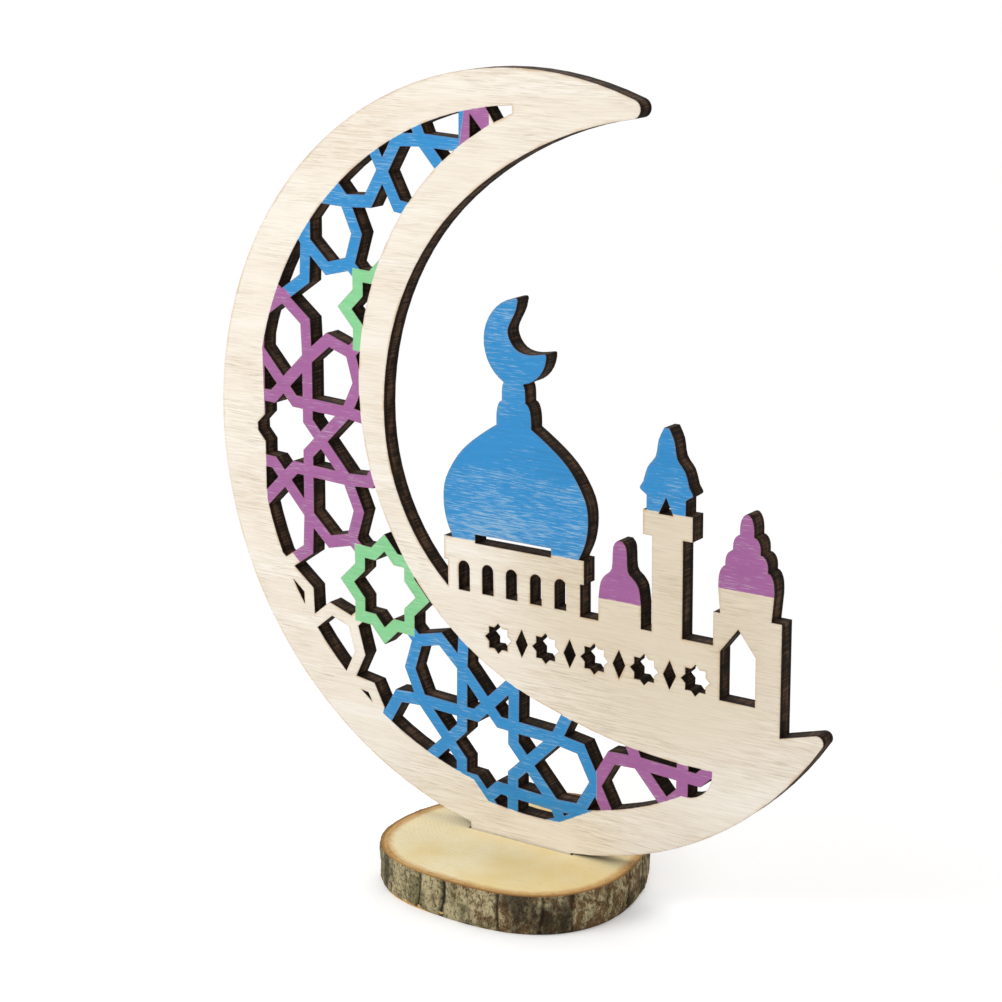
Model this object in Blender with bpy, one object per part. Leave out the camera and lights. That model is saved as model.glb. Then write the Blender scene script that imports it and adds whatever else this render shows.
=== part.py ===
# Crescent ornament: a laser-cut plywood crescent with a small mosque skyline,
# standing by its foot in a slot across a bark-edged slice of a log.
# Metres, +Z up. The front of the board faces -Y. The origin is the middle of
# the log's underside. Points of the board are given from the crescent's centre.

import math

import bmesh
import bpy

# Board
board_thickness = 0.0050
face_ply = 0.0012
glue_line = 0.0001

# Crescent
outer_radius = 0.1000
crown_tuck = 0.0040
crown_tuck_angle = math.radians(170.0)
horn_tuck = 0.0055
horn_tuck_angle = math.radians(-74.0)
rim_centre = (0.0276, 0.0084)
rim_radius = 0.0733
rim_ease = 0.0254
rim_ease_angle = math.radians(130.0)
rim_hook = 0.0175
rim_hook_angle = math.radians(182.5)
top_tip_radius = 0.0023
horn_tip_radius = 0.0017
horn_rise = math.radians(15.6)

# Foot of the board and the log under it
log_radius = 0.0343
log_thickness = 0.0103
bark_thickness = 0.00115
inner_bark_thickness = 0.0007
growth_gap = 0.0001
bark_ridge = 0.00035
bark_ridge_count = 24
bark_edge_round = 0.0008
bark_drift = ((1.3, 3.0), (0.6, 2.0))
bark_twist = 4.0
bark_low_share = 0.13
bark_middle_share = 0.5
bark_high_share = 0.9
bark_top_round_share = 0.3
bark_top_furrow_share = 0.5
log_facets = 96
log_waves = ((2, 0.0004, math.radians(-55.0)),
             (3, 0.0016, math.radians(100.0)),
             (4, 0.0006, math.radians(175.0)))
tab_width = 0.0310
slot_depth = 0.0070
slot_end_play = 0.0006
slot_play = 0.0003
foot_play = 0.0003
log_shift = (-0.0045, 0.0006)

# Lattice window
window_margin = 0.0120
window_centre = (0.0244, 0.0138)
window_radius = 0.0780
window_end_angle = math.radians(-60.5)
window_bulge_angle = math.radians(-57.0)
window_bulge = 0.0016
window_tip_angle = math.radians(-52.86)
window_tip_setback = 0.0022
window_sag = (0.0240, -0.0664)
window_turn_angle = math.radians(-104.0)
sill_drop = 0.0040
sill_from = math.radians(-99.0)
sill_to = math.radians(-86.0)
sill_ramp = math.radians(3.5)
blunt_end_angle = math.radians(3.7)
top_hole_start = math.radians(5.0)
top_hole_slant = math.radians(-1.5)
top_hole_depth = 0.0046
smallest_hole_side = 0.00127
hole_samples = 14

# Lattice of eight-point stars and petals: half pitches, strap and crossings
half_pitch_x = 0.03295
half_pitch_z = 0.03635
strap_width = 0.0033
star_reach_x = 0.0123
star_reach_z = 0.0127
star_corner_x = 0.00805
star_corner_z = 0.00895
crown_shoulder_x = 0.0076
crown_setback = 0.0056
side_shoulder_z = 0.0082
side_setback = 0.00455
petal_top_x = 0.0150
petal_top_setback = 0.0093
petal_side_z = 0.0169
petal_side_setback = 0.00825
petal_outer_setback = (0.01065, 0.0114)
lattice_centre = (-0.0790, -0.0014)
lattice_drop = math.radians(2.86)
lattice_lean = math.radians(1.15)

# Arcade under the large dome
arcade_left = -0.0262
arcade_width = 0.0401
arcade_floor = -0.0360
cornice_reach = 0.0011
cornice_bottom = -0.0277
cornice_top = -0.0215
arch_count = 5
arch_width = 0.0037
arch_bottom = -0.0352
arch_top = -0.0273
arch_pitch = 0.0073
arch_shift = -0.0004
lintel_slot = (0.0229, 0.0023)
lintel_slot_rise = -0.0007

# Large dome, its collars and the crescent on top: half widths and heights
dome_shift = 0.0006
dome_profile = ((0.01905, 0.0), (0.0210, 0.0045), (0.02175, 0.0098), (0.0209, 0.0152),
                (0.0171, 0.0215), (0.0124, 0.0260), (0.00535, 0.0309))
collar_half = (0.0052, 0.0035, 0.0030)
collar_top = (0.0157, 0.0200)
finial_start = 0.0205
finial_belly = (0.0030, 0.0242)
finial_low_tip = (0.0042, 0.0287)
finial_inner = ((0.0030, 0.0285), (0.0, 0.0280), (-0.0026, 0.0281), (-0.0047, 0.0289), (-0.0063, 0.0306),
                (-0.0071, 0.0327), (-0.0068, 0.0345), (-0.0056, 0.0367), (-0.0046, 0.0388))
finial_high_tip = (-0.0039, 0.0417)
finial_outer = (-0.0143, 0.0312)
finial_end = 0.0204
finial_tip_radius = 0.0008

# Small dome
cupola_left = 0.0192
cupola_width = 0.0122
cupola_spring = -0.0301
cupola_profile = ((0.0061, 0.0), (0.0055, 0.0040), (0.0042, 0.0060), (0.0023, 0.0080),
                  (0.0019, 0.0135), (0.0007, 0.0152))

# Minaret
minaret_left = 0.0344
minaret_width = 0.0086
gallery_half = 0.0069
gallery_bottom = -0.0120
gallery_top = -0.0058
lantern_half = 0.00545
eaves_bottom = -0.0021
eaves_half = 0.0076
eaves_level = -0.0007
spire_profile = ((0.0064, 0.0018), (0.0052, 0.0055), (0.0030, 0.0084), (0.0022, 0.0125), (0.0007, 0.0156))
lantern_opening = (0.0020, 0.0042)
lantern_sill = 0.0005
spire_shift = -0.0005

# Tower with a stepped dome and a pointed window
tower_left = 0.0515
tower_width = 0.0184
tower_foot = -0.0562
tower_floor = -0.0364
tower_top = -0.0280
drum_half = (0.0069, 0.0075)
drum_top = -0.0218
stepped_dome = ((0.0075, 0.0056), (0.0057, 0.0096), (0.0037, 0.0136), (0.0019, 0.0189))
tier_round_share = 0.72
tier_steps = 5
turret_shift = -0.0005
pointed_half = 0.0048
pointed_shift = -0.0024
pointed_sill = -0.0498
pointed_shoulder = -0.0375
pointed_apex = -0.0313

# Pierced band of small stars and lozenges in the wall under the arcade
band_start = -0.0108
band_end = 0.0468
band_level = -0.0462
band_count = 9
band_star = (0.0040, 0.0030)
band_star_points = 8
band_lozenge = (0.0018, 0.0037)

# Facets and cutting reach
facet_sag = 0.00004
sharp_angle = math.radians(35.0)
cut_reach = 0.0020

TURN = 2.0 * math.pi


# Outline helpers, all in the board's plane (x across, z up)
def arc(centre, radius, start, end):
    """Points along an arc, both ends included."""
    step = 2.0 * math.acos(1.0 - facet_sag / radius)
    count = max(1, math.ceil(abs(end - start) / step))
    return [(centre[0] + radius * math.cos(start + (end - start) * k / count),
             centre[1] + radius * math.sin(start + (end - start) * k / count))
            for k in range(count + 1)]


def circle_through(p, q, r):
    """Centre and radius of the circle through three points."""
    ax, az = q[0] - p[0], q[1] - p[1]
    bx, bz = r[0] - p[0], r[1] - p[1]
    cross = 2.0 * (ax * bz - az * bx)
    aa = ax * ax + az * az
    bb = bx * bx + bz * bz
    ux = (bz * aa - az * bb) / cross
    uz = (ax * bb - bx * aa) / cross
    return (p[0] + ux, p[1] + uz), math.hypot(ux, uz)


def arc_through(p, q, r):
    """Points of the arc that runs from p past q to r."""
    centre, radius = circle_through(p, q, r)
    first, middle, last = (math.atan2(s[1] - centre[1], s[0] - centre[0]) for s in (p, q, r))
    sweep = (last - first) % TURN
    if (middle - first) % TURN > sweep:
        sweep -= TURN
    return arc(centre, radius, first, first + sweep)


def circles_meet(c1, r1, c2, r2, side):
    """The meeting point of two circles on the given side of the line from c1 to c2."""
    dx, dz = c2[0] - c1[0], c2[1] - c1[1]
    apart = math.hypot(dx, dz)
    along = (apart * apart + r1 * r1 - r2 * r2) / (2.0 * apart)
    across = side * math.sqrt(r1 * r1 - along * along)
    return (c1[0] + (along * dx - across * dz) / apart,
            c1[1] + (along * dz + across * dx) / apart)


def angle_of(centre, point):
    return math.atan2(point[1] - centre[1], point[0] - centre[0])


def polar(radius, angle):
    return (radius * math.cos(angle), radius * math.sin(angle))


def z_below(centre, radius, x):
    """Height of the lower half of a circle at x."""
    return centre[1] - math.sqrt(radius * radius - (x - centre[0]) ** 2)


def smooth(points, steps=3):
    """A Catmull-Rom curve through the points."""
    padded = [points[0]] + list(points) + [points[-1]]
    curve = []
    for a, b, c, d in zip(padded, padded[1:], padded[2:], padded[3:]):
        for k in range(steps):
            t = k / steps
            curve.append(tuple(0.5 * (2.0 * b[i] + (c[i] - a[i]) * t
                                      + (2.0 * a[i] - 5.0 * b[i] + 4.0 * c[i] - d[i]) * t * t
                                      + (3.0 * b[i] - a[i] - 3.0 * c[i] + d[i]) * t ** 3)
                               for i in range(2)))
    return curve + [points[-1]]


def rounded(before, corner, after, radius):
    """Points of the round that replaces a corner."""
    ux, uz = before[0] - corner[0], before[1] - corner[1]
    vx, vz = after[0] - corner[0], after[1] - corner[1]
    u_length = math.hypot(ux, uz)
    v_length = math.hypot(vx, vz)
    ux, uz, vx, vz = ux / u_length, uz / u_length, vx / v_length, vz / v_length
    half = 0.5 * math.acos(max(-1.0, min(1.0, ux * vx + uz * vz)))
    setback = min(radius / math.tan(half), 0.45 * u_length, 0.45 * v_length)
    radius = setback * math.tan(half)
    bx, bz = ux + vx, uz + vz
    reach = radius / math.sin(half) / math.hypot(bx, bz)
    centre = (corner[0] + bx * reach, corner[1] + bz * reach)
    start = angle_of(centre, (corner[0] + ux * setback, corner[1] + uz * setback))
    end = angle_of(centre, (corner[0] + vx * setback, corner[1] + vz * setback))
    sweep = (end - start + math.pi) % TURN - math.pi
    return arc(centre, radius, start, start + sweep)


def outline(points):
    """A closed outline; a third number on a point is the radius of its round."""
    closed = []
    for k, point in enumerate(points):
        if len(point) == 3:
            after = points[(k + 1) % len(points)]
            closed += rounded(points[k - 1], point, after, point[2])
        else:
            closed.append(point)
    return closed


def inset(points, distance):
    """The outline moved inwards by a distance, with mitred corners."""
    count = len(points)
    area = sum(points[k][0] * points[(k + 1) % count][1] - points[(k + 1) % count][0] * points[k][1]
               for k in range(count))
    side = math.copysign(distance, area)
    lines = []
    for k in range(count):
        x, z = points[k]
        dx, dz = points[(k + 1) % count][0] - x, points[(k + 1) % count][1] - z
        length = math.hypot(dx, dz)
        lines.append((x - dz / length * side, z + dx / length * side, dx / length, dz / length))
    moved = []
    for k in range(count):
        x0, z0, dx0, dz0 = lines[k - 1]
        x1, z1, dx1, dz1 = lines[k]
        along = ((x1 - x0) * dz1 - (z1 - z0) * dx1) / (dx0 * dz1 - dz0 * dx1)
        moved.append((x0 + dx0 * along, z0 + dz0 * along))
    return moved


def mirrored(points):
    """A run of points followed by its mirror image over the vertical axis."""
    return list(points) + [(-x, z) for x, z in reversed(points)]


def shifted(points, dx, dz):
    return [(p[0] + dx, p[1] + dz) + tuple(p[2:]) for p in points]


# Board outline
slot_near_end = 0.5 * tab_width + slot_end_play - abs(log_shift[0])
log_top_level = -(math.sqrt(outer_radius ** 2 - slot_near_end ** 2) + foot_play)


def tab_edges():
    """Left and right of the tab, then its bottom."""
    middle = log_shift[0]
    bottom = log_top_level - slot_depth + foot_play
    return middle - 0.5 * tab_width, middle + 0.5 * tab_width, bottom


def horn_arc_centre():
    return (horn_tuck * math.cos(horn_tuck_angle), horn_tuck * math.sin(horn_tuck_angle))


def horn():
    """The foot's right side, the outer curve to the horn's tip and its straight top."""
    left, right, bottom = tab_edges()
    start = math.atan2(z_below((0.0, 0.0), outer_radius, right), right)
    centre = horn_arc_centre()
    radius = outer_radius - horn_tuck
    foot = (tower_left + tower_width, tower_foot)
    # the tip's round touches both the straight top and the outer curve
    along_x, along_z = math.cos(horn_rise), math.sin(horn_rise)
    px = foot[0] + horn_tip_radius * along_z - centre[0]
    pz = foot[1] - horn_tip_radius * along_x - centre[1]
    half_b = px * along_x + pz * along_z
    square = (radius - horn_tip_radius) ** 2 - px * px - pz * pz
    reach = -half_b + math.sqrt(half_b * half_b + square)
    tip = (centre[0] + px + along_x * reach, centre[1] + pz + along_z * reach)
    over = angle_of(centre, tip)
    points = [(left, bottom), (right, bottom)]
    points += arc((0.0, 0.0), outer_radius, start, horn_tuck_angle)
    points += arc(centre, radius, horn_tuck_angle, over)[1:-1]
    points += arc(tip, horn_tip_radius, over, horn_rise + 0.25 * TURN)
    points.append(foot)
    return points


def dome_tier(width, inner, low, top):
    """A tier of a dome or collar: a quarter ellipse over a short straight foot."""
    rise = tier_round_share * (top - low)
    points = []
    for k in range(tier_steps + 1):
        angle = 0.25 * TURN * k / tier_steps
        points.append((inner + (width - inner) * math.cos(angle), top - rise + rise * math.sin(angle)))
    return points


def tower():
    middle = tower_left + 0.5 * tower_width
    half = 0.5 * tower_width
    turret = [(drum_half[0], tower_top), (drum_half[1], drum_top)]
    low = drum_top
    for k, (width, height) in enumerate(stepped_dome):
        inner = stepped_dome[k + 1][0] if k + 1 < len(stepped_dome) else 0.0
        turret += dome_tier(width, inner, low, drum_top + height)
        low = drum_top + height
    # the apex lies on the middle line and is not repeated
    left = [(-x, z) for x, z in reversed(turret[:-1])]
    turret = shifted(turret + left, middle + turret_shift, 0.0)
    return [(middle + half, tower_top)] + turret + [(tower_left, tower_top), (tower_left, tower_floor)]


def minaret():
    middle = minaret_left + 0.5 * minaret_width
    half = 0.5 * minaret_width
    shaft = [(half, tower_floor), (half, gallery_bottom), (gallery_half, gallery_bottom),
             (gallery_half, gallery_top)]
    lantern = [(lantern_half, gallery_top), (lantern_half, eaves_bottom), (eaves_half, eaves_level)]
    spire = smooth([(width, eaves_level + height) for width, height in spire_profile])
    left = [(-x, z) for x, z in reversed(shaft[1:])]
    points = shifted(shaft, middle, 0.0) + shifted(mirrored(lantern + spire), middle + spire_shift, 0.0)
    return points + shifted(left, middle, 0.0) + [(minaret_left, arcade_floor)]


def cupola():
    middle = cupola_left + 0.5 * cupola_width
    dome = smooth([(width, cupola_spring + height) for width, height in cupola_profile])
    side = [(0.5 * cupola_width, arcade_floor)] + dome
    return shifted(mirrored(side), middle, 0.0)


def arcade():
    """Right wall and cornice, the great dome with its finial, left cornice and wall."""
    right = arcade_left + arcade_width
    middle = arcade_left + 0.5 * arcade_width + dome_shift
    points = [(right, arcade_floor), (right, cornice_bottom),
              (right + cornice_reach, cornice_bottom), (right + cornice_reach, cornice_top)]
    half_dome = smooth([(width, cornice_top + height) for width, height in dome_profile])
    neck = half_dome[-1][1]
    points += shifted(half_dome[:-1], middle, 0.0)
    collars = [(collar_half[0], neck)]
    low = neck
    for width, inner, top in zip(collar_half, collar_half[1:], collar_top):
        collars += dome_tier(width, inner, low, top)
        low = top
    points += shifted(collars, middle, 0.0)
    start = (middle + collar_half[-1], finial_start)
    end = (middle - collar_half[-1], finial_end)
    points += arc_through(start, finial_belly, finial_low_tip)[:-1]
    points += [finial_low_tip + (finial_tip_radius,)]
    points += smooth([finial_low_tip, *finial_inner, finial_high_tip], 2)[2:-2]
    points += [finial_high_tip + (finial_tip_radius,)]
    points += arc_through(finial_high_tip, finial_outer, end)[1:]
    points += shifted([(-x, z) for x, z in reversed(collars)], middle, 0.0)
    points += shifted([(-x, z) for x, z in reversed(half_dome[:-1])], middle, 0.0)
    points += [(arcade_left - cornice_reach, cornice_top), (arcade_left - cornice_reach, cornice_bottom),
               (arcade_left, cornice_bottom)]
    return points


def crescent_top():
    """The inner rim up to the top tip, then the outer curve down to the tab."""
    left, right, bottom = tab_edges()
    hook_centre = (rim_centre[0] + rim_hook * math.cos(rim_hook_angle),
                   rim_centre[1] + rim_hook * math.sin(rim_hook_angle))
    hook_radius = rim_radius - rim_hook
    start = angle_of(hook_centre, (arcade_left, z_below(hook_centre, hook_radius, arcade_left))) % TURN
    rim = arc(hook_centre, hook_radius, start, rim_hook_angle)[:-1]
    rim += arc(rim_centre, rim_radius, rim_hook_angle, rim_ease_angle)
    ease_radius = rim_radius + rim_ease
    ease_centre = (rim_centre[0] - rim_ease * math.cos(rim_ease_angle),
                   rim_centre[1] - rim_ease * math.sin(rim_ease_angle))
    crown_radius = outer_radius - crown_tuck
    crown_centre = (crown_tuck * math.cos(crown_tuck_angle), crown_tuck * math.sin(crown_tuck_angle))
    tip = circles_meet(crown_centre, crown_radius - top_tip_radius,
                       ease_centre, ease_radius + top_tip_radius, 1.0)
    under = angle_of(ease_centre, tip)
    over = angle_of(crown_centre, tip)
    points = rim[:-1] + arc(ease_centre, ease_radius, rim_ease_angle, under)[:-1]
    points += arc(tip, top_tip_radius, under - math.pi, over)[:-1]
    points += arc(crown_centre, crown_radius, over, crown_tuck_angle)[:-1]
    end = math.atan2(z_below((0.0, 0.0), outer_radius, left), left) % TURN
    points += arc((0.0, 0.0), outer_radius, crown_tuck_angle, end)
    return points


def board_outline():
    return outline(horn() + tower() + minaret() + cupola() + arcade() + crescent_top())


# Openings in the wall and the towers
def arched_window(middle):
    half = 0.5 * arch_width
    arch = arc((middle, arch_top - half), half, 0.0, math.pi)
    return [(middle - half, arch_bottom), (middle + half, arch_bottom)] + arch


def wall_openings():
    middle = arcade_left + 0.5 * arcade_width
    first = middle + arch_shift - 0.5 * (arch_count - 1) * arch_pitch
    loops = [arched_window(first + k * arch_pitch) for k in range(arch_count)]
    low = cornice_top + lintel_slot_rise
    half = 0.5 * lintel_slot[0]
    high = low + lintel_slot[1]
    loops.append([(middle - half, low), (middle + half, low), (middle + half, high), (middle - half, high)])
    return loops


def tower_openings():
    middle = minaret_left + 0.5 * minaret_width + spire_shift
    low = gallery_top - lantern_sill
    lantern = [(middle - lantern_opening[0], low), (middle + lantern_opening[0], low),
               (middle, low + lantern_opening[1])]
    middle = tower_left + 0.5 * tower_width + pointed_shift
    pointed = [(middle - pointed_half, pointed_sill), (middle + pointed_half, pointed_sill),
               (middle + pointed_half, pointed_shoulder), (middle, pointed_apex),
               (middle - pointed_half, pointed_shoulder)]
    return [lantern, pointed]


def band_star_outline(x):
    corners = 2 * band_star_points
    points = []
    for k in range(corners):
        angle = TURN * k / corners
        points.append((x + band_star[k % 2] * math.cos(angle), band_level + band_star[k % 2] * math.sin(angle)))
    return points


def band_openings():
    """Small stars with lozenges between them, along one level."""
    loops = []
    for k in range(band_count):
        x = band_start + (band_end - band_start) * k / (band_count - 1)
        if k % 2:
            wide, high = band_lozenge
            loops.append([(x + wide, band_level), (x, band_level + high),
                          (x - wide, band_level), (x, band_level - high)])
        else:
            loops.append(band_star_outline(x))
    return loops


# Lattice: the middle lines of the straps bound cells, and each cell, drawn in
# by half a strap, is a hole
def star_quarter():
    low = star_reach_z * (1.0 - star_corner_x / star_reach_x)
    near = star_reach_x * (1.0 - star_corner_z / star_reach_z)
    return [(star_reach_x, 0.0), (star_corner_x, low), (star_corner_x, star_corner_z),
            (near, star_corner_z), (0.0, star_reach_z)]


def star_cell():
    quarter = star_quarter()
    half = quarter + [(-x, z) for x, z in reversed(quarter[:-1])]
    return half + [(x, -z) for x, z in reversed(half[1:-1])]


def flipped(points, sx, sz):
    return [(sx * x, sz * z) for x, z in points]


def rosette_cells():
    """Cells round one star, and round the plain star half a pitch away on both axes."""
    reach, low_corner, corner, near_corner, top = star_quarter()
    upper = (star_corner_x, star_reach_z * (1.0 + star_corner_x / star_reach_x))
    right = (star_reach_x * (1.0 + star_corner_z / star_reach_z), star_corner_z)
    crown = (crown_shoulder_x, half_pitch_z - crown_setback)
    side = (half_pitch_x - side_setback, side_shoulder_z)
    petal_top = (petal_top_x, half_pitch_z - petal_top_setback)
    petal_side = (half_pitch_x - petal_side_setback, petal_side_z)
    petal_outer = (half_pitch_x - petal_outer_setback[0], half_pitch_z - petal_outer_setback[1])
    cells = [star_cell()]
    for sx in (1, -1):
        for sz in (1, -1):
            cells.append(flipped([reach, right, corner, low_corner], sx, sz))
            cells.append(flipped([top, upper, corner, near_corner], sx, sz))
            cells.append(flipped([corner, upper, petal_top, petal_outer, petal_side, right], sx, sz))
    for turn in (1, -1):
        half = [(half_pitch_x, 0.0), side, right]
        cells.append(flipped(half + [reach] + [(x, -z) for x, z in reversed(half[1:])], turn, 1))
        half = [(0.0, half_pitch_z), crown, upper]
        cells.append(flipped(half + [top] + [(-x, z) for x, z in reversed(half[1:])], 1, turn))
    # the plain star and the four gaps round it, seen from its own centre
    around = [star_cell()]
    half = shifted([(0.0, half_pitch_z), crown, upper, petal_top, petal_outer], -half_pitch_x, -half_pitch_z)
    half += [(-x, -z) for x, z in (corner, low_corner, reach)]
    gap = half + [(x, -z) for x, z in reversed(half[1:-1])]
    around += [gap, flipped(gap, -1, 1)]
    half = shifted([(half_pitch_x, 0.0), side, right, petal_side, petal_outer], -half_pitch_x, -half_pitch_z)
    half += [(-x, -z) for x, z in (corner, near_corner, top)]
    gap = half + [(-x, z) for x, z in reversed(half[1:-1])]
    around += [gap, flipped(gap, 1, -1)]
    return cells + [shifted(cell, half_pitch_x, half_pitch_z) for cell in around]


def window_outline():
    """The crescent-shaped window that bounds the lattice."""
    radius = outer_radius - window_margin
    start = window_top_angle() + blunt_end_angle
    border = []
    for x, z in arc((0.0, 0.0), radius, start, window_end_angle + TURN):
        angle = math.atan2(z, x)
        ramp = min((angle - sill_from) / sill_ramp + 1.0, (sill_to - angle) / sill_ramp + 1.0, 1.0)
        stretch = 1.0 + max(0.0, ramp) * sill_drop / radius
        border.append((x * stretch, z * stretch))
    bulge = polar(radius + window_bulge, window_bulge_angle)
    tip = polar(radius - window_tip_setback, window_tip_angle)
    turn = (window_centre[0] + window_radius * math.cos(window_turn_angle),
            window_centre[1] + window_radius * math.sin(window_turn_angle))
    border += arc_through(border[-1], bulge, tip)[1:-1]
    border += arc_through(tip, window_sag, turn)[:-1]
    # the inner side runs up to the short straight end at the top
    half_b = window_centre[0] * math.cos(start) + window_centre[1] * math.sin(start)
    square = window_radius ** 2 - window_centre[0] ** 2 - window_centre[1] ** 2
    last = polar(half_b + math.sqrt(half_b * half_b + square), start)
    border += arc(window_centre, window_radius, window_turn_angle, angle_of(window_centre, last) - TURN)
    return border


def window_top_angle():
    """Where the window's two long sides would meet at the top, seen from the crescent's centre."""
    top = circles_meet(window_centre, window_radius, (0.0, 0.0), outer_radius - window_margin, -1.0)
    return angle_of((0.0, 0.0), top)


def top_hole():
    """The last opening at the window's top, which has no strap between its slanted side and the end."""
    radius = outer_radius - window_margin
    start = window_top_angle() + blunt_end_angle
    side = start + top_hole_start
    return [polar(radius + cut_reach, side - top_hole_slant * cut_reach / top_hole_depth),
            polar(radius - top_hole_depth, side + top_hole_slant),
            polar(radius - top_hole_depth, start - blunt_end_angle),
            polar(radius + cut_reach, start - blunt_end_angle)]


def contains(loop, x, z):
    """Whether the point lies in the loop, by the even-odd rule."""
    inside = False
    for (x0, z0), (x1, z1) in zip(loop, loop[1:] + loop[:1]):
        if (z0 > z) != (z1 > z) and x < x0 + (z - z0) * (x1 - x0) / (z1 - z0):
            inside = not inside
    return inside


def shared_area(hole, window):
    """Area of the hole that lies in the window, by even sampling."""
    left = min(x for x, z in hole)
    low = min(z for x, z in hole)
    dx = (max(x for x, z in hole) - left) / hole_samples
    dz = (max(z for x, z in hole) - low) / hole_samples
    hits = 0
    for i in range(hole_samples):
        for k in range(hole_samples):
            x = left + (i + 0.5) * dx
            z = low + (k + 0.5) * dz
            hits += contains(hole, x, z) and contains(window, x, z)
    return hits * dx * dz


def lattice_holes():
    """Every hole of the lattice that keeps a useful area in the window."""
    window = window_outline()
    last = top_hole()
    across = math.ceil(outer_radius / half_pitch_x)
    along = math.ceil(outer_radius / half_pitch_z)
    holes = [last]
    for column in range(-1, across):
        for row in range(-along, along + 1):
            for cell in rosette_cells():
                drawn = inset(cell, 0.5 * strap_width)
                hole = []
                for x, z in drawn:
                    x += 2.0 * half_pitch_x * column
                    z += 2.0 * half_pitch_z * row
                    hole.append((lattice_centre[0] + x + math.tan(lattice_lean) * z,
                                 lattice_centre[1] + z - math.tan(lattice_drop) * x))
                if shared_area(hole, window) > smallest_hole_side ** 2 and not shared_area(hole, last):
                    holes.append(hole)
    return holes


# Building
def new_object(name, mesh, material=None):
    item = bpy.data.objects.new(name, mesh)
    bpy.context.collection.objects.link(item)
    if material:
        mesh.materials.append(material)
    return item


def new_material(name, colour, roughness):
    material = bpy.data.materials.new(name)
    material.use_nodes = True
    shader = material.node_tree.nodes["Principled BSDF"]
    shader.inputs["Base Color"].default_value = (*colour, 1.0)
    shader.inputs["Roughness"].default_value = roughness
    shader.inputs["Metallic"].default_value = 0.0
    material.diffuse_color = (*colour, 1.0)
    return material


def plate(name, loops, front, back):
    """Flat outlines pushed through from one depth to another."""
    mesh = bpy.data.meshes.new(name)
    work = bmesh.new()
    faces = []
    for loop in loops:
        faces.append(work.faces.new([work.verts.new((x, front, z)) for x, z in loop]))
    pushed = bmesh.ops.extrude_face_region(work, geom=faces)
    moved = [item for item in pushed["geom"] if isinstance(item, bmesh.types.BMVert)]
    bmesh.ops.translate(work, verts=moved, vec=(0.0, back - front, 0.0))
    bmesh.ops.recalc_face_normals(work, faces=work.faces)
    work.to_mesh(mesh)
    work.free()
    return mesh


def cut(item, cutter, operation="DIFFERENCE"):
    change = item.modifiers.new(cutter.name, "BOOLEAN")
    change.operation = operation
    change.solver = "EXACT"
    change.object = cutter
    cutter.hide_render = True
    cutter.display_type = "WIRE"


def remove_old_objects():
    for item in list(bpy.data.objects):
        bpy.data.objects.remove(item, do_unlink=True)


def seat_height():
    """Height of the crescent's centre over the log's underside."""
    return log_thickness - log_top_level


def panel_frame():
    """An empty at the crescent's centre, in the middle of the board, that lifts the board."""
    frame = bpy.data.objects.new("panel_lift", None)
    bpy.context.collection.objects.link(frame)
    frame.location = (-log_shift[0], 0.5 * board_thickness - log_shift[1], seat_height())
    return frame


def panel_cutters(frame):
    half = 0.5 * board_thickness + cut_reach
    pierced = new_object("cut_openings", plate("cut_openings", wall_openings() + tower_openings()
                                               + band_openings(), -half, half))
    lattice = new_object("cut_lattice", plate("cut_lattice", lattice_holes(), -half, half))
    reach = half + cut_reach
    window = new_object("cut_window", plate("cut_window", [window_outline()], -reach, reach))
    for cutter in (pierced, lattice, window):
        cutter.parent = frame
    cut(lattice, window, "INTERSECT")
    return pierced, lattice


def panel_ply(name, frame, cutters, front, back, material):
    ply = new_object(name, plate(name, [board_outline()], front, back), material)
    ply.parent = frame
    for cutter in cutters:
        cut(ply, cutter)
    return ply


def panel():
    frame = panel_frame()
    cutters = panel_cutters(frame)
    face = new_material("face_veneer", (0.86, 0.75, 0.60), 0.62)
    core = new_material("core_ply", (0.30, 0.19, 0.11), 0.75)
    back = new_material("back_veneer", (0.82, 0.70, 0.54), 0.65)
    half = 0.5 * board_thickness
    panel_ply("panel_front_ply", frame, cutters, -half, face_ply - half, face)
    panel_ply("panel_core", frame, cutters, face_ply + glue_line - half, half - face_ply - glue_line, core)
    panel_ply("panel_back_ply", frame, cutters, half - face_ply, half, back)


# Log slice
def log_reach(angle):
    """Radius of the log at an angle, with its slow waves."""
    return log_radius + sum(size * math.cos(count * angle + phase) for count, size, phase in log_waves)


def bark_furrow(angle, level):
    """How far the bark swells out at an angle and at a share of the log's height."""
    (slow, slow_count), (quick, quick_count) = bark_drift
    drift = slow * math.sin(slow_count * angle) + quick * math.sin(bark_twist * level + quick_count * angle)
    return bark_ridge * (0.5 + 0.5 * math.sin(bark_ridge_count * angle + drift))


def log_ring(offset_inner, levels):
    """A closed ring between an inner offset and a list of (height, outer offset, furrow share)."""
    work = bmesh.new()
    angles = [TURN * k / log_facets for k in range(log_facets)]

    def loop(height, offset, furrow):
        row = []
        for angle in angles:
            radius = log_reach(angle) - offset
            radius += furrow * bark_furrow(angle, height / log_thickness)
            row.append(work.verts.new((radius * math.cos(angle), radius * math.sin(angle), height)))
        return row

    rows = [loop(*level) for level in levels]
    rows += [loop(levels[-1][0], offset_inner, 0.0), loop(levels[0][0], offset_inner, 0.0)]
    for lower, upper in zip(rows, rows[1:] + rows[:1]):
        for k in range(log_facets):
            after = (k + 1) % log_facets
            work.faces.new((lower[k], lower[after], upper[after], upper[k]))
    bmesh.ops.recalc_face_normals(work, faces=work.faces)
    return work


def finish_ring(name, work, material):
    mesh = bpy.data.meshes.new(name)
    work.to_mesh(mesh)
    work.free()
    mesh.shade_smooth()
    mesh.set_sharp_from_angle(angle=sharp_angle)
    return new_object(name, mesh, material)


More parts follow.
